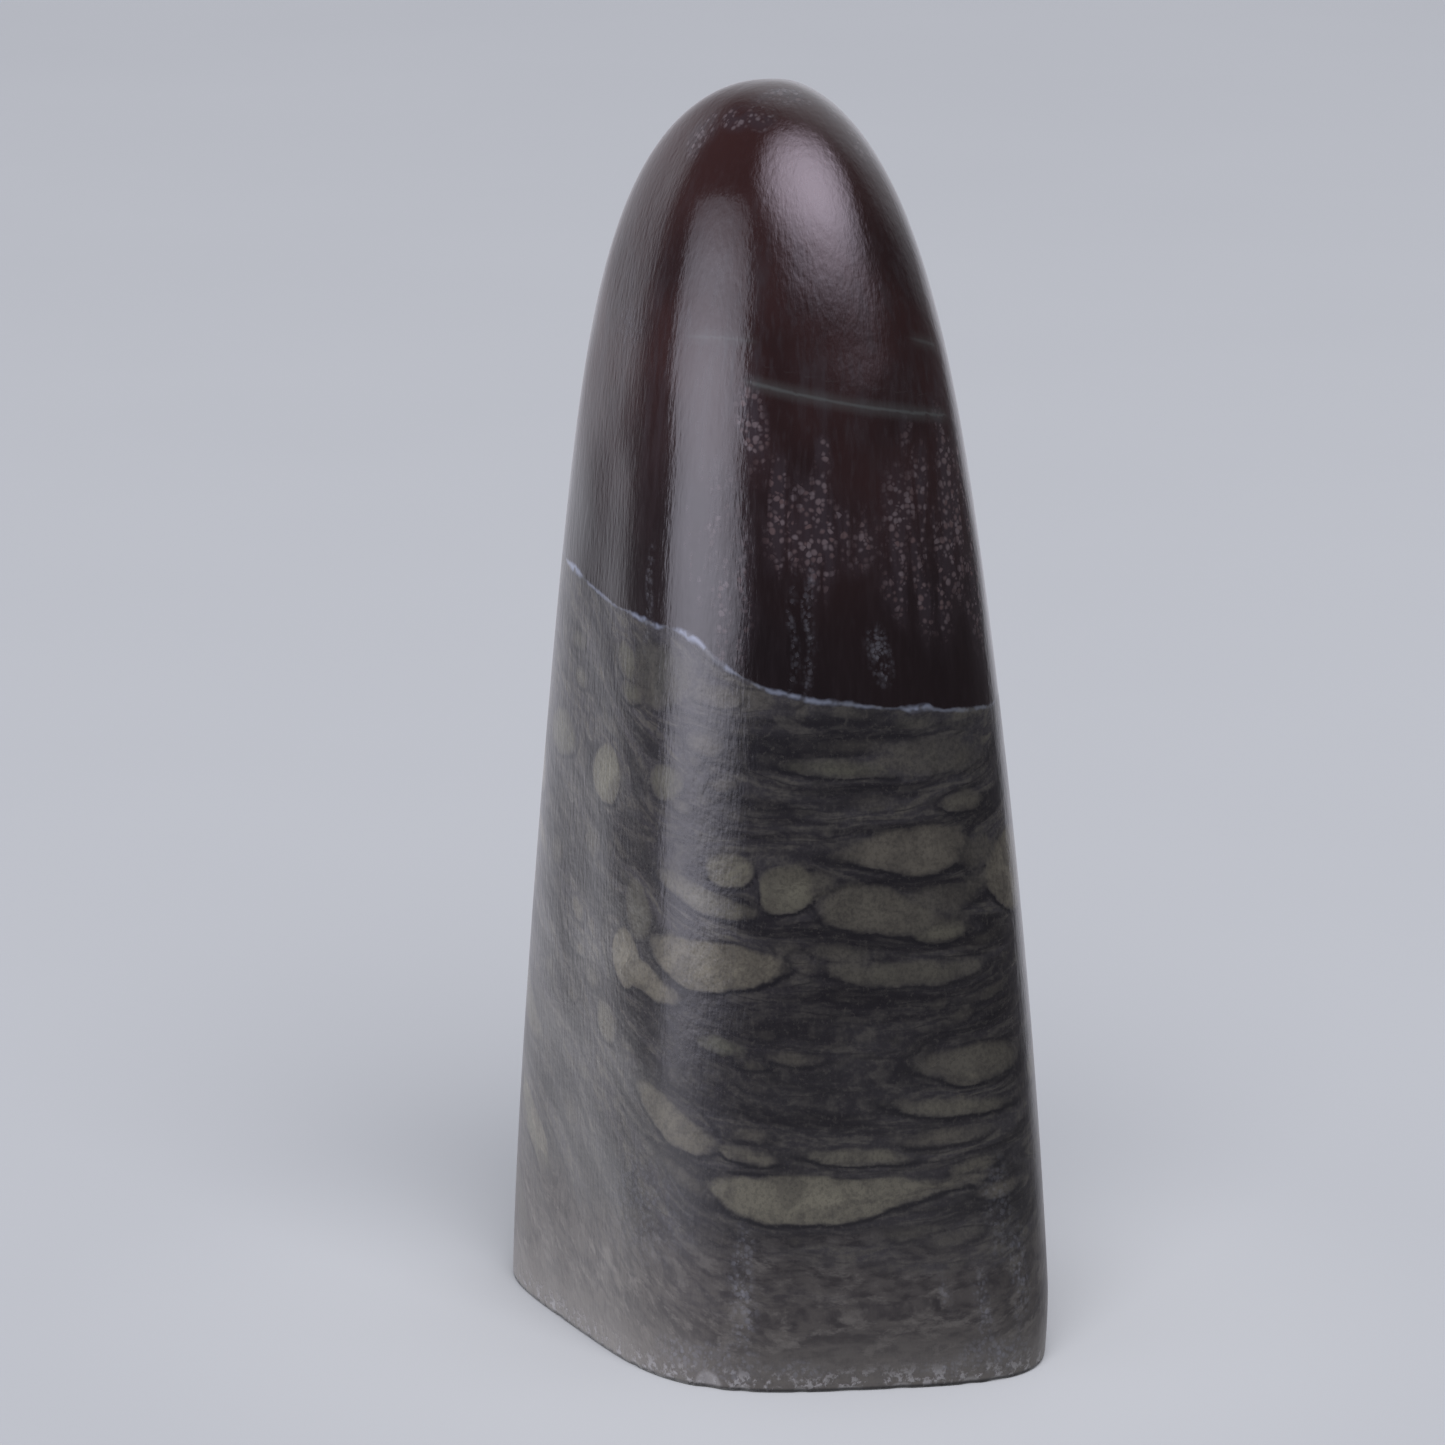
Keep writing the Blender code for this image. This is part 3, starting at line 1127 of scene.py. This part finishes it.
# %% Lay out the thin lines
SEAMS = {
    "under the broad flake": (
        0.9,
        ((8.0, -9.8), (9.5, -10.7), (12.0, -11.3), (14.5, -11.4), (17.0, -11.2), (19.3, -10.2)),
    ),
    "over the pointed flake": (
        1.0,
        ((16.5, -11.6), (13.0, -11.8), (9.5, -12.3), (7.6, -12.8), (6.4, -13.3), (6.9, -14.3)),
    ),
    "round the rim flake": (
        1.0,
        ((21.3, -7.8), (20.6, -9.2), (20.4, -10.8), (20.7, -12.4), (21.4, -13.7)),
    ),
    "under the long lens": (
        0.9,
        ((-7.0, -17.0), (-5.0, -19.3), (-1.5, -20.6), (2.0, -19.8), (5.5, -18.0)),
    ),
    "left of the corner": (0.9, ((-9.0, -15.0), (-8.6, -18.0), (-7.9, -21.5), (-7.6, -25.0))),
    "over the sloping flake": (0.8, ((-7.0, -25.8), (-4.0, -27.0), (-1.2, -29.5), (0.4, -32.0))),
    "under the sloping flake": (0.7, ((-7.9, -28.0), (-6.5, -30.6), (-3.0, -32.3), (-0.8, -33.0))),
    "over the great flake": (
        1.0,
        ((-0.6, -33.6), (4.0, -34.0), (9.0, -34.3), (14.0, -34.6), (18.0, -34.9)),
    ),
    "on the left face": (0.8, ((-13.3, -37.6), (-11.5, -39.2), (-9.8, -40.5))),
}
HAIR_VEINS = {
    "middle of the dark rock": (
        1.0,
        ((1.3, 25.7), (4.7, 24.8), (9.6, 23.8), (13.5, 23.3), (17.0, 23.0)),
    ),
    "high on the left": (0.5, ((-3.0, 29.0), (0.5, 28.8), (2.9, 28.5))),
    "high on the right": (0.7, ((13.8, 28.9), (15.2, 28.5), (16.2, 28.2))),
}
print("seams:", len(SEAMS), "hair veins:", len(HAIR_VEINS))


# %% Measure how far a straight piece of line is
def smooth_points(points):
    """The points with their corners cut twice, so that the line runs smoothly."""
    for _ in range(2):
        cut = [points[0]]
        for start, end in zip(points, points[1:]):
            cut += [start * 0.75 + end * 0.25, start * 0.25 + end * 0.75]
        points = cut + [points[-1]]
    return points


def beside(start, end, out):
    """For every point: how far along a straight piece, past its ends, beside and off it."""
    run = end - start
    onward = np.array(run.normalized())
    away = places - np.array(start)
    along = away @ onward
    past = along - np.clip(along, 0, run.length)
    signed = away @ np.array(run.cross(out).normalized())
    off_line = np.linalg.norm(away - np.outer(along, onward), axis=1)
    return along, np.copysign(np.hypot(past, signed), signed), np.hypot(past, off_line)


test_bend = smooth_points([Vector((0, 0, 0)), Vector((1, 1, 0)), Vector((2, 0, 0))])
print("a bend of 3 points is smoothed to", len(test_bend), "points")


# %% Note the side and the distance of the nearest line
LINE_REACH = 1.5
END_FADE = 1.2


def line_notes(lines):
    """For every point of the mesh: the signed distance to the nearest line, and its strength."""
    side = np.full(len(places), LINE_REACH)
    strength = np.zeros(len(places))
    for tone, line in lines.values():
        met = [meet(*point) for point in line]
        points = smooth_points([hit for hit, _ in met])
        out = met[len(met) // 2][1]
        total = sum((end - start).length for start, end in zip(points, points[1:]))
        travelled = 0.0
        for start, end in zip(points, points[1:]):
            along, signed, gap = beside(start, end, out)
            nearer = gap < np.minimum(np.abs(side), LINE_REACH)
            side[nearer] = signed[nearer]
            place_along = travelled + along
            fade = np.clip(np.minimum(place_along, total - place_along) / END_FADE, 0, 1)
            near = np.clip(2 - 2 * gap / LINE_REACH, 0, 1)
            strength[nearer] = (tone * fade * near)[nearer]
            travelled += (end - start).length
    return side, strength


seam_side, seam_strength = line_notes(SEAMS)
vein_side, vein_strength = line_notes(HAIR_VEINS)
print("points by a seam:", int((seam_strength > 0).sum()))


# %% Write the notes on the mesh
notes = {
    "flake_depth": flakes["depth"],
    "flake_pale": flakes["pale"],
    "flake_green": flakes["green"],
    "flake_rise": flakes["rise"],
    "layer_level": layer_level,
    "above_joint": above_joint,
    **patch_notes,
    "seam_side": seam_side,
    "seam_strength": seam_strength,
    "vein_side": vein_side,
    "vein_strength": vein_strength,
    "chips": chip_nearness,
}
for name, values in notes.items():
    note = stone_mesh.attributes.new(name, "FLOAT", "POINT")
    note.data.foreach_set("value", np.asarray(values, np.float32))
print("notes on the mesh:", list(notes))


# %% [markdown] ## More calls for the rock  Rock needs noise of more kinds than a floor does:
# noise that pushes a place about, so that nothing lies dead straight, noise drawn out along
# the layers, and round spots of many sizes.

# %% Calls that the rock needs
class RockMixer(Mixer):
    """The kit with the calls that only the rock needs."""

    def axis(self, title, place, name):
        """One of the three numbers of a place."""
        return self.add("ShaderNodeSeparateXYZ", title, {0: place}, name)

    def turn(self, title, place, angle):
        """The place turned about the X axis."""
        values = {"Vector": place, "Angle": angle}
        return self.add("ShaderNodeVectorRotate", title, values, rotation_type="X_AXIS")

    def reading(self, name):
        """A number that the mesh holds at each of its points."""
        options = {"attribute_type": "GEOMETRY", "attribute_name": name}
        return self.add("ShaderNodeAttribute", name, {}, "Fac", **options)

    def blend(self, title, share, first, second):
        """One number blended into another by a share from 0 to 1."""
        values = {0: share, 2: first, 3: second}
        return self.add("ShaderNodeMix", title, values, data_type="FLOAT")

    def size(self, title, number):
        """A number without its sign, such as how far a signed distance is."""
        return self.sum(title, "ABSOLUTE", number)

    def add_part(self, title, number, part, rest):
        """A part of a number, added to the rest."""
        return self.sum(title, "MULTIPLY_ADD", number, part, rest)

    def drift(self, title, place, size, amount):
        """The place pushed about in blobs of this size, by up to half of the amount each way."""
        noise = self.clouds(title, place, size, output="Color")
        centred = self.shift("centred", noise, (-0.5, -0.5, -0.5))
        return self.shift("drifted", place, self.stretch("amount", centred, amount))

    def drawn_clouds(self, title, place, by, detail=2.0, roughness=0.5):
        """Clouds whose blobs are one over these numbers long, in millimetres on each axis."""
        drawn_out = self.stretch("drawn out", place, by)
        return self.clouds(title, drawn_out, 1.0, detail, roughness)

    def dots(self, title, place, size, own_sizes, edge):
        """Round spots of many sizes, 1 inside and 0 outside, and a number of each one's own."""
        values = {"Vector": place, "Scale": 1 / size}
        distance = self.add("ShaderNodeTexVoronoi", title, values, "Distance")
        own = distance.node.outputs["Color"]
        own_size = self.add("ShaderNodeSeparateColor", "own numbers", {0: own})
        reach = self.scale("own size", own_size, *own_sizes)
        inside = self.sum("to its edge", "SUBTRACT", reach, distance)
        return self.ramp("dot", inside, *edge), own_size.node.outputs[1]

    def tell(self, what):
        """Prints what has just been mixed, and how many nodes there are by now."""
        print(what, "mixed,", len(self.tree.nodes), "nodes so far")


print("calls for the rock alone:", sum(callable(call) for call in vars(RockMixer).values()))


# %% [markdown]
# ## The upper rock
#
# Polished, this rock is nearly black with a warm brown red in it. Fine upright streaks run
# through it, because it was squeezed along the stone's length. Two browns mixed by soft clouds
# give the depth, and clouds drawn out upright give the streaks. Towards the joint it is darkest.

# %% Mix the upper rock
darkest = (0.0040, 0.0024, 0.0036, 1)
warm_brown = (0.0275, 0.0088, 0.0085, 1)
streak_grey = (0.034, 0.024, 0.027, 1)
grain_grey = (0.040, 0.032, 0.036, 1)
tip_brown = (0.036, 0.0115, 0.0105, 1)

rock = RockMixer(bpy.data.materials.new("polished liver jade"))
rock.start_step("places in the rock")
place = rock.place()
height = rock.axis("height", place, "Z")
drifted = rock.drift("slow drift", place, 7.0, (1.2, 1.2, 1.2))
joint_height = rock.reading("above_joint")

rock.start_step("upper rock")
far_up = rock.ramp("far from the joint", joint_height, 1.0, 22.0, 0.22, 1.0)
soft_clouds = rock.clouds("soft clouds", drifted, 8.0)
warm_share = rock.ramp("warm clouds", soft_clouds, 0.30, 0.66, 0.5, 1.0)
warm_share = rock.times("less near the joint", warm_share, far_up)
upper = rock.mix("two browns", warm_share, darkest, warm_brown)
upright = rock.stretch("drawn out upright", drifted, (1.0, 1.0, 0.07))
streaks = rock.clouds("upright streaks", upright, 1.2, detail=3.0, roughness=0.6)
streak_share = rock.ramp("streaks", streaks, 0.46, 0.74, highest=0.6)
streak_share = rock.times("fewer near the joint", streak_share, far_up)
upper = rock.mix("streaked", streak_share, upper, streak_grey)
fine_grain = rock.drawn_clouds("fine upright grain", place, (3.0, 3.0, 0.5))
grain_share = rock.ramp("grain", fine_grain, 0.45, 0.75, highest=0.3)
grain_share = rock.times("less near the joint", grain_share, far_up)
upper = rock.mix("grained", grain_share, upper, grain_grey)
upper = rock.mix("redder at the tip", rock.ramp("tip", height, 80.0, 95.0), upper, tip_brown)
rock.tell("upper rock")


# %% [markdown]
# ## The specks
#
# The specks are tiny pinkish crystals. Each is a small cell of a cell noise with a size of its
# own, and it shows only where the mesh's notes and the streaks let specks gather. A faint haze
# lies among them, for crystals too small to see one by one.

# %% Strew specks in the upper rock
haze_grey = (0.040, 0.030, 0.037, 1)
pink = (0.088, 0.056, 0.056, 1)
pale_pink = (0.118, 0.092, 0.098, 1)

rock.start_step("specks of the upper rock")
by_streaks = rock.ramp("by streaks", streaks, 0.36, 0.58, 0.25, 1.3)
speck_area = rock.times("ragged area", rock.reading("specks"), by_streaks)
upper = rock.mix("hazed", rock.times("haze", speck_area, 0.75), upper, haze_grey)
speck_place = rock.drift("speck drift", place, 1.4, (0.5, 0.5, 0.5))
speck, speck_tone = rock.dots("specks", speck_place, 0.44, (0.0, 0.62), (-0.22, 0.20))
speck = rock.times("where they gather", speck, rock.ramp("gather", speck_area, 0.08, 0.6))
speck_colour = rock.mix("pink to pale", speck_tone, pink, pale_pink)
upper = rock.mix("specked", speck, upper, speck_colour)
rock.tell("specks")


# %% [markdown]
# ## The lower rock
#
# The lower rock was laid down and squeezed in layers, so its clouds are drawn out along them.
# The layers dip to the front and bend round the large flakes, as the mesh's notes say. Three
# sizes of clouds, from long bands down to fine laminae, make its dark violet grey ground.

# %% Find the place in the layers
rock.start_step("layers of the lower rock")
turned = rock.turn("turned to the layers", place, -LAYER_DIP)
in_layers = {
    "X": rock.axis("along", turned, "X"),
    "Y": rock.axis("down the dip", turned, "Y"),
    "Z": rock.reading("layer_level"),
}
layer_place = rock.add("ShaderNodeCombineXYZ", "place in the layers", in_layers)
layer_place = rock.drift("layer drift", layer_place, 4.5, (0.0, 0.0, 1.0))
layer_place = rock.drift("small layer drift", layer_place, 1.1, (0.3, 0.3, 0.18))
bands = rock.drawn_clouds("long bands", layer_place, (0.10, 0.10, 0.62))
mottle = rock.drawn_clouds("mottling", layer_place, (0.6, 0.6, 1.5), 3.0, 0.58)
laminae = rock.drawn_clouds("fine laminae", layer_place, (0.24, 0.24, 2.4), 2.0, 0.6)
rock.tell("layers")

# %% Mix the ground of the lower rock
violet_dark = (0.0098, 0.0084, 0.0110, 1)
violet_grey = (0.043, 0.039, 0.042, 1)
brown_grey = (0.078, 0.071, 0.060, 1)

rock.start_step("ground of the lower rock")
band_share = rock.ramp("bands", bands, 0.36, 0.66)
not_dark = rock.scale("outside the dark bands", rock.reading("dark_bands"), 1.0, 0.05)
band_share = rock.times("bands left", band_share, not_dark)
lower = rock.mix("banded", band_share, violet_dark, violet_grey)
mottle_share = rock.ramp("mottles", mottle, 0.40, 0.66)
in_bands = rock.scale("more in bands", band_share, 0.22, 1.0)
mottle_share = rock.times("mottles in bands", mottle_share, in_bands)
lower = rock.mix("mottled", mottle_share, lower, brown_grey)
lamina_share = rock.ramp("laminae", laminae, 0.47, 0.72, highest=0.26)
lower = rock.mix("laminated", lamina_share, lower, violet_dark)
rock.tell("ground")


# %% [markdown]
# ## Dark seams
#
# Dark seams wind between the flakes. The wild ones are the places where a slow noise passes its
# middle value, which always form closed, winding lines. The ones that give the stone its face are
# laid out one by one, and the mesh's notes say how far away they are.

# %% Wind dark seams through the lower rock
seam_dark = (0.0080, 0.0072, 0.0100, 1)

rock.start_step("dark seams")
slow_noise = rock.drawn_clouds("slow noise", layer_place, (0.09, 0.09, 0.6), detail=1.0)
from_middle = rock.size("from its middle", rock.sum("centred", "SUBTRACT", slow_noise, 0.5))
wild_seams = rock.ramp("winding lines", from_middle, 0.035, 0.0)
seam_breaks = rock.ramp("breaks in the seams", mottle, 0.38, 0.6, highest=0.65)
wild_seams = rock.times("broken", wild_seams, seam_breaks)
from_seam = rock.size("from a laid seam", rock.reading("seam_side"))
seam_width = rock.scale("seam width", mottle, 0.5, 0.15)
laid_seams = rock.ramp("laid seams", from_seam, seam_width, 0.02)
laid_seams = rock.times("as strong as laid", laid_seams, rock.reading("seam_strength"))
seams = rock.sum("all seams", "MAXIMUM", wild_seams, laid_seams)
lower = rock.mix("seamed", rock.times("seam share", seams, 0.92), lower, seam_dark)
rock.tell("seams")


# %% [markdown]
# ## Colouring the flakes
#
# A flake is a chip of another rock, so it has its own colour and a soft, slightly ragged edge.
# The depth noted on the mesh is roughened with noise, and passing 0 is the flake's edge. Dark
# seams gather round a flake as a rind, darkest below it. A faint flake has a softer edge and a
# fainter rind, and lets the layers show through. Small flakes that are too many to lay out come
# from scattered cells, flattened along the layers.

# %% Roughen the edges of the flakes
rock.start_step("edges of the flakes")
rag_noise = rock.drawn_clouds("rag noise", layer_place, (0.9, 0.9, 1.5), detail=3.0)
rag = rock.scale("rag height", rag_noise, -0.20, 0.20)
depth = rock.sum("roughened", "ADD", rock.reading("flake_depth"), rag)
paleness = rock.reading("flake_pale")
edge_end = rock.scale("faint ones are softer", paleness, 0.55, 0.22)
inside_flake = rock.ramp("inside a flake", depth, -0.12, edge_end)
faintness = rock.scale("by paleness", paleness, 0.45, 1.0)
inside_flake = rock.times("faint or strong", inside_flake, faintness)
outside_rind = rock.ramp("rind outside", depth, -0.55, -0.05)
inside_rind = rock.ramp("rind inside", depth, 0.12, -0.06)
rind = rock.times("dark rind", outside_rind, inside_rind)
below = rock.ramp("darker below", rock.reading("flake_rise"), 0.5, -0.7, 0.15, 0.9)
rind = rock.times("rind share", rind, below)
round_pale = rock.scale("stronger round pale ones", paleness, 0.1, 1.5)
rind = rock.times("by tone", rind, round_pale)
rock.tell("edges")

# %% Strew small flakes
small_pale = (0.088, 0.080, 0.064, 1)
small_dull = (0.060, 0.055, 0.053, 1)

rock.start_step("small flakes")
small_place = rock.stretch("flattened cells", layer_place, (0.42, 0.42, 1.25))
small, small_tint = rock.dots("small flakes", small_place, 0.8, (-0.3, 0.42), (-0.12, 0.20))
small = rock.times("in pale bands", small, rock.ramp("few", band_share, 0.1, 0.9))
small_colour = rock.mix("small tint", small_tint, small_pale, small_dull)
lower = rock.mix("with small flakes", rock.times("share", small, 0.6), lower, small_colour)
rock.tell("small flakes")

# %% Colour the flakes
olive = (0.190, 0.167, 0.125, 1)
green = (0.140, 0.143, 0.094, 1)
dull = (0.042, 0.038, 0.036, 1)
darker_spots = (0.050, 0.044, 0.036, 1)

rock.start_step("colour of the flakes")
flake_mottle = rock.drawn_clouds("mottling inside", layer_place, (0.4, 0.4, 0.9), 4.0, 0.7)
flake_colour = rock.mix("greener", rock.reading("flake_green"), olive, green)
flake_colour = rock.mix("dull or pale", paleness, dull, flake_colour)
spot_share = rock.ramp("spots", flake_mottle, 0.42, 0.62, highest=0.55)
flake_colour = rock.mix("spotted", spot_share, flake_colour, darker_spots)
thin_edge = rock.ramp("thin edge", depth, 0.0, 1.2, 0.45, 0.0)
flake_colour = rock.mix("darker to its edge", thin_edge, flake_colour, darker_spots)
lower = rock.mix("with rinds", rind, lower, seam_dark)
lower = rock.mix("with flakes", inside_flake, lower, flake_colour)
speckle = rock.clouds("fine speckle", place, 0.33, roughness=0.7)
dark_speckle = rock.ramp("dark speckle", speckle, 0.42, 0.66, highest=0.30)
lower = rock.mix("speckled", dark_speckle, lower, seam_dark)
pale_speckle = rock.ramp("pale speckle", speckle, 0.46, 0.28, highest=0.30)
lower = rock.mix("pale speckled", pale_speckle, lower, brown_grey)
rock.tell("flakes")


# %% [markdown]
# ## The lowest part
#
# Near the foot the rock turns lighter and browner, in soft mottled bands with pale, grained
# spots, and has fewer flakes. It fades in over a few millimetres rather than starting at a line,
# and the large flakes show through it.

# %% Mix the lowest part
foot_dark = (0.030, 0.024, 0.023, 1)
foot_grey = (0.072, 0.062, 0.056, 1)
foot_pale = (0.150, 0.135, 0.120, 1)

rock.start_step("lowest part")
foot = rock.mix("foot bands", rock.ramp("band", mottle, 0.34, 0.60), foot_dark, foot_grey)
foot_spots = rock.ramp("spots", flake_mottle, 0.48, 0.66)
lowest = rock.ramp("pale all over at the edge", height, 5.5, 0.5)
foot_spots = rock.sum("both", "MAXIMUM", foot_spots, lowest)
foot_spots = rock.times("grained", foot_spots, rock.scale("grain", speckle, 0.25, 1.75))
foot = rock.mix("foot mottle", rock.times("spot share", foot_spots, 0.8), foot, foot_pale)
wavy_height = rock.sum("wavy height", "ADD", height, rock.scale("wave", bands, -5.0, 5.0))
foot_share = rock.ramp("near the foot", wavy_height, 13.0, 7.0, highest=0.72)
not_flake = rock.sum("not on flakes", "SUBTRACT", 1.0, inside_flake)
foot_share = rock.times("share", foot_share, not_flake)
lower = rock.mix("with the lowest part", foot_share, lower, foot)
rock.tell("lowest part")


# %% [markdown]
# ## The joint and its vein
#
# The two rocks meet at the joint that the mesh's points measured. A little noise makes it
# wander. The vein that fills it is milky quartz with a blue tint: it swells and thins, and in
# places it nearly goes. Two or three hair veins of the same kind cross the dark rock.

# %% Join the two rocks with the vein
vein_blue = (0.27, 0.30, 0.385, 1)

rock.start_step("joint")
joint_wobble = rock.clouds("joint wobble", place, 3.0, detail=3.0, roughness=0.6)
wobble = rock.scale("wobble", joint_wobble, -0.6, 0.6)
above = rock.sum("wobbly height", "ADD", joint_height, wobble)
is_upper = rock.ramp("upper rock", above, -0.10, 0.08)
stone_colour = rock.mix("two rocks", is_upper, lower, upper)

rock.start_step("vein")
vein_swell = rock.clouds("vein swell", place, 1.3, roughness=0.6)
wild_swell = rock.ramp("wild swell", vein_swell, 0.5, 0.8, highest=0.28)
swelling = rock.sum("swelling", "MAXIMUM", rock.reading("vein_patches"), wild_swell)
off_middle = rock.size("from the vein", rock.sum("below the joint", "ADD", above, 0.12))
vein_width = rock.scale("vein width", swelling, 0.16, 0.62)
vein = rock.ramp("vein", off_middle, vein_width, 0.0)
vein_breaks = rock.ramp("breaks", vein_swell, 0.40, 0.56, 0.22, 1.0)
vein = rock.times("broken vein", vein, vein_breaks)
vein = rock.times("as strong as laid", vein, rock.scale("least", swelling, 0.14, 1.0))
stone_colour = rock.mix("with the vein", vein, stone_colour, vein_blue)
rock.tell("vein")

# %% Draw the hair veins
hair_grey = (0.095, 0.104, 0.100, 1)

rock.start_step("hair veins")
from_hair = rock.size("from a hair vein", rock.reading("vein_side"))
hair_width = rock.scale("hair width", vein_swell, 0.05, 0.34)
hair = rock.ramp("hair", from_hair, hair_width, 0.0)
halo = rock.ramp("halo", from_hair, 0.9, 0.0, highest=0.28)
hair = rock.add_part("with its halo", hair, 0.32, halo)
hair = rock.times("as strong as laid", hair, rock.reading("vein_strength"))
stone_colour = rock.mix("with hair veins", hair, stone_colour, hair_grey)
rock.tell("hair veins")


# %% [markdown]
# ## Wear, and painted shade under the rim
#
# Rubs are places where the polish is bruised: they look pale, because the crushed surface scatters
# light. Each is a cluster of tiny crushed spots in a faint haze. Chips are raw stone, paler and
# duller than the polish. The rim is a little pale all the way round, and where it turns under,
# where no light reaches, its colour is painted dark as painted shade.

# %% Rub the surface
crushed = (0.22, 0.225, 0.26, 1)

rock.start_step("rubs")
rub_spot, _ = rock.dots("crushed spots", speck_place, 0.33, (-0.1, 0.75), (-0.30, 0.35))
rub_grain = rock.drawn_clouds("rub grain", place, (2.2, 2.2, 1.2))
rub_haze = rock.ramp("haze", rub_grain, 0.42, 0.70)
rub = rock.add_part("spots in haze", rub_haze, 0.4, rub_spot)
rub = rock.times("in rubbed places", rock.reading("rubs"), rub)
stone_colour = rock.mix("with rubs", rock.times("rub share", rub, 0.4), stone_colour, crushed)
rock.tell("rubs")

# %% Chip the rim and paint shade under it
raw_stone = (0.34, 0.33, 0.33, 1)
painted_shade_under_edge = (0.006, 0.005, 0.006, 1)

rock.start_step("chips")
rim_noise = rock.clouds("rim noise", place, 0.8, detail=3.0, roughness=0.7)
rim_rag = rock.ramp("rag of the rim", rim_noise, 0.50, 0.62, highest=0.8)
pale_rim = rock.times("ragged rim", rock.ramp("rim", height, 2.4, 0.3), rim_rag)
chip_rag = rock.scale("rag of the chips", rim_noise, 0.5, 1.5)
ragged_chip = rock.times("ragged chip", rock.reading("chips"), chip_rag)
chip = rock.ramp("chips", ragged_chip, 0.35, 0.75, highest=0.5)
raw = rock.sum("raw stone", "MAXIMUM", chip, pale_rim)
stone_colour = rock.mix("with chips", rock.times("share", raw, 0.85), stone_colour, raw_stone)
# painted shade: the colour turns nearly black where the edge turns under the foot, for the shade
# there
painted_shade_share = rock.ramp("turned under", height, 0.42, 0.15)
stone_colour = rock.mix("dark under the edge", painted_shade_share, stone_colour, painted_shade_under_edge)
rock.feed_last("Principled BSDF", {"Base Color": stone_colour})
rock.tell("chips")


# %% [markdown]
# ## Gloss and the feel of the surface
#
# The dark rock takes the best polish, and the layered rock is a little duller and less even,
# most of all near the foot. Fine upright grain is left from polishing. Gloss is the roughness,
# and the feel is a bump in real millimetres.

# %% Set the gloss
STONE_IOR = 1.58
RUB_ROUGHNESS = 0.5
RAW_ROUGHNESS = 0.62

rock.start_step("gloss")
gloss_noise = rock.clouds("gloss clouds", place, 4.0, roughness=0.6)
rough_upper = rock.scale("upper polish", gloss_noise, 0.13, 0.20)
best_lower = rock.scale("best of the lower rock", gloss_noise, 0.18, 0.28)
dullest = rock.scale("dullest", gloss_noise, 0.36, 0.46)
downwards = rock.ramp("duller downwards", height, 34.0, 4.0)
rough_lower = rock.blend("lower polish", downwards, best_lower, dullest)
rough = rock.blend("two polishes", is_upper, rough_lower, rough_upper)
rough = rock.blend("dull rubs", rock.times("dull share", rub, 0.7), rough, RUB_ROUGHNESS)
rough = rock.blend("raw chips", raw, rough, RAW_ROUGHNESS)
rock.feed_last("Principled BSDF", {"Roughness": rough, "IOR": STONE_IOR})
rock.tell("gloss")

# %% Set the feel
WAVE_RELIEF = 0.22
GRAIN_RELIEF = 0.024
RUB_RELIEF = -0.02
RAW_RELIEF = 0.12
SKIN_RELIEF = (0.010, 0.022)

rock.start_step("feel")
grain = rock.drawn_clouds("polishing grain", place, (2.6, 2.6, 0.6), roughness=0.6)
skin = rock.clouds("uneven skin", place, 0.8, roughness=0.6)
waves = rock.clouds("slow waves", place, 6.5, detail=0.0)
skin_height = rock.ramp("less even below the joint", joint_height, 0.5, -0.5, *SKIN_RELIEF)
raw_grain = rock.times("raw grain", raw, rim_noise)
relief = rock.times("grain height", grain, GRAIN_RELIEF)
relief = rock.add_part("with the skin", skin, skin_height, relief)
relief = rock.add_part("with slow waves", waves, WAVE_RELIEF, relief)
relief = rock.add_part("with bruised rubs", rub, RUB_RELIEF, relief)
relief = rock.add_part("with broken chips", raw_grain, RAW_RELIEF, relief)
bump = {"Strength": 1.0, "Distance": MM, "Height": relief}
feel = rock.add("ShaderNodeBump", "feel", bump, "Normal")
rock.feed_last("Principled BSDF", {"Normal": feel})
stone.data.materials.append(rock.owner)
rock.tell("feel")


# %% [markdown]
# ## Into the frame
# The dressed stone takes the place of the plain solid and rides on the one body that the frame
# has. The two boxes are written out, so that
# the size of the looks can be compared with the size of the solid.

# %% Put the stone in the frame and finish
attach(stone, "root")
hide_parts(STONE_NODE)
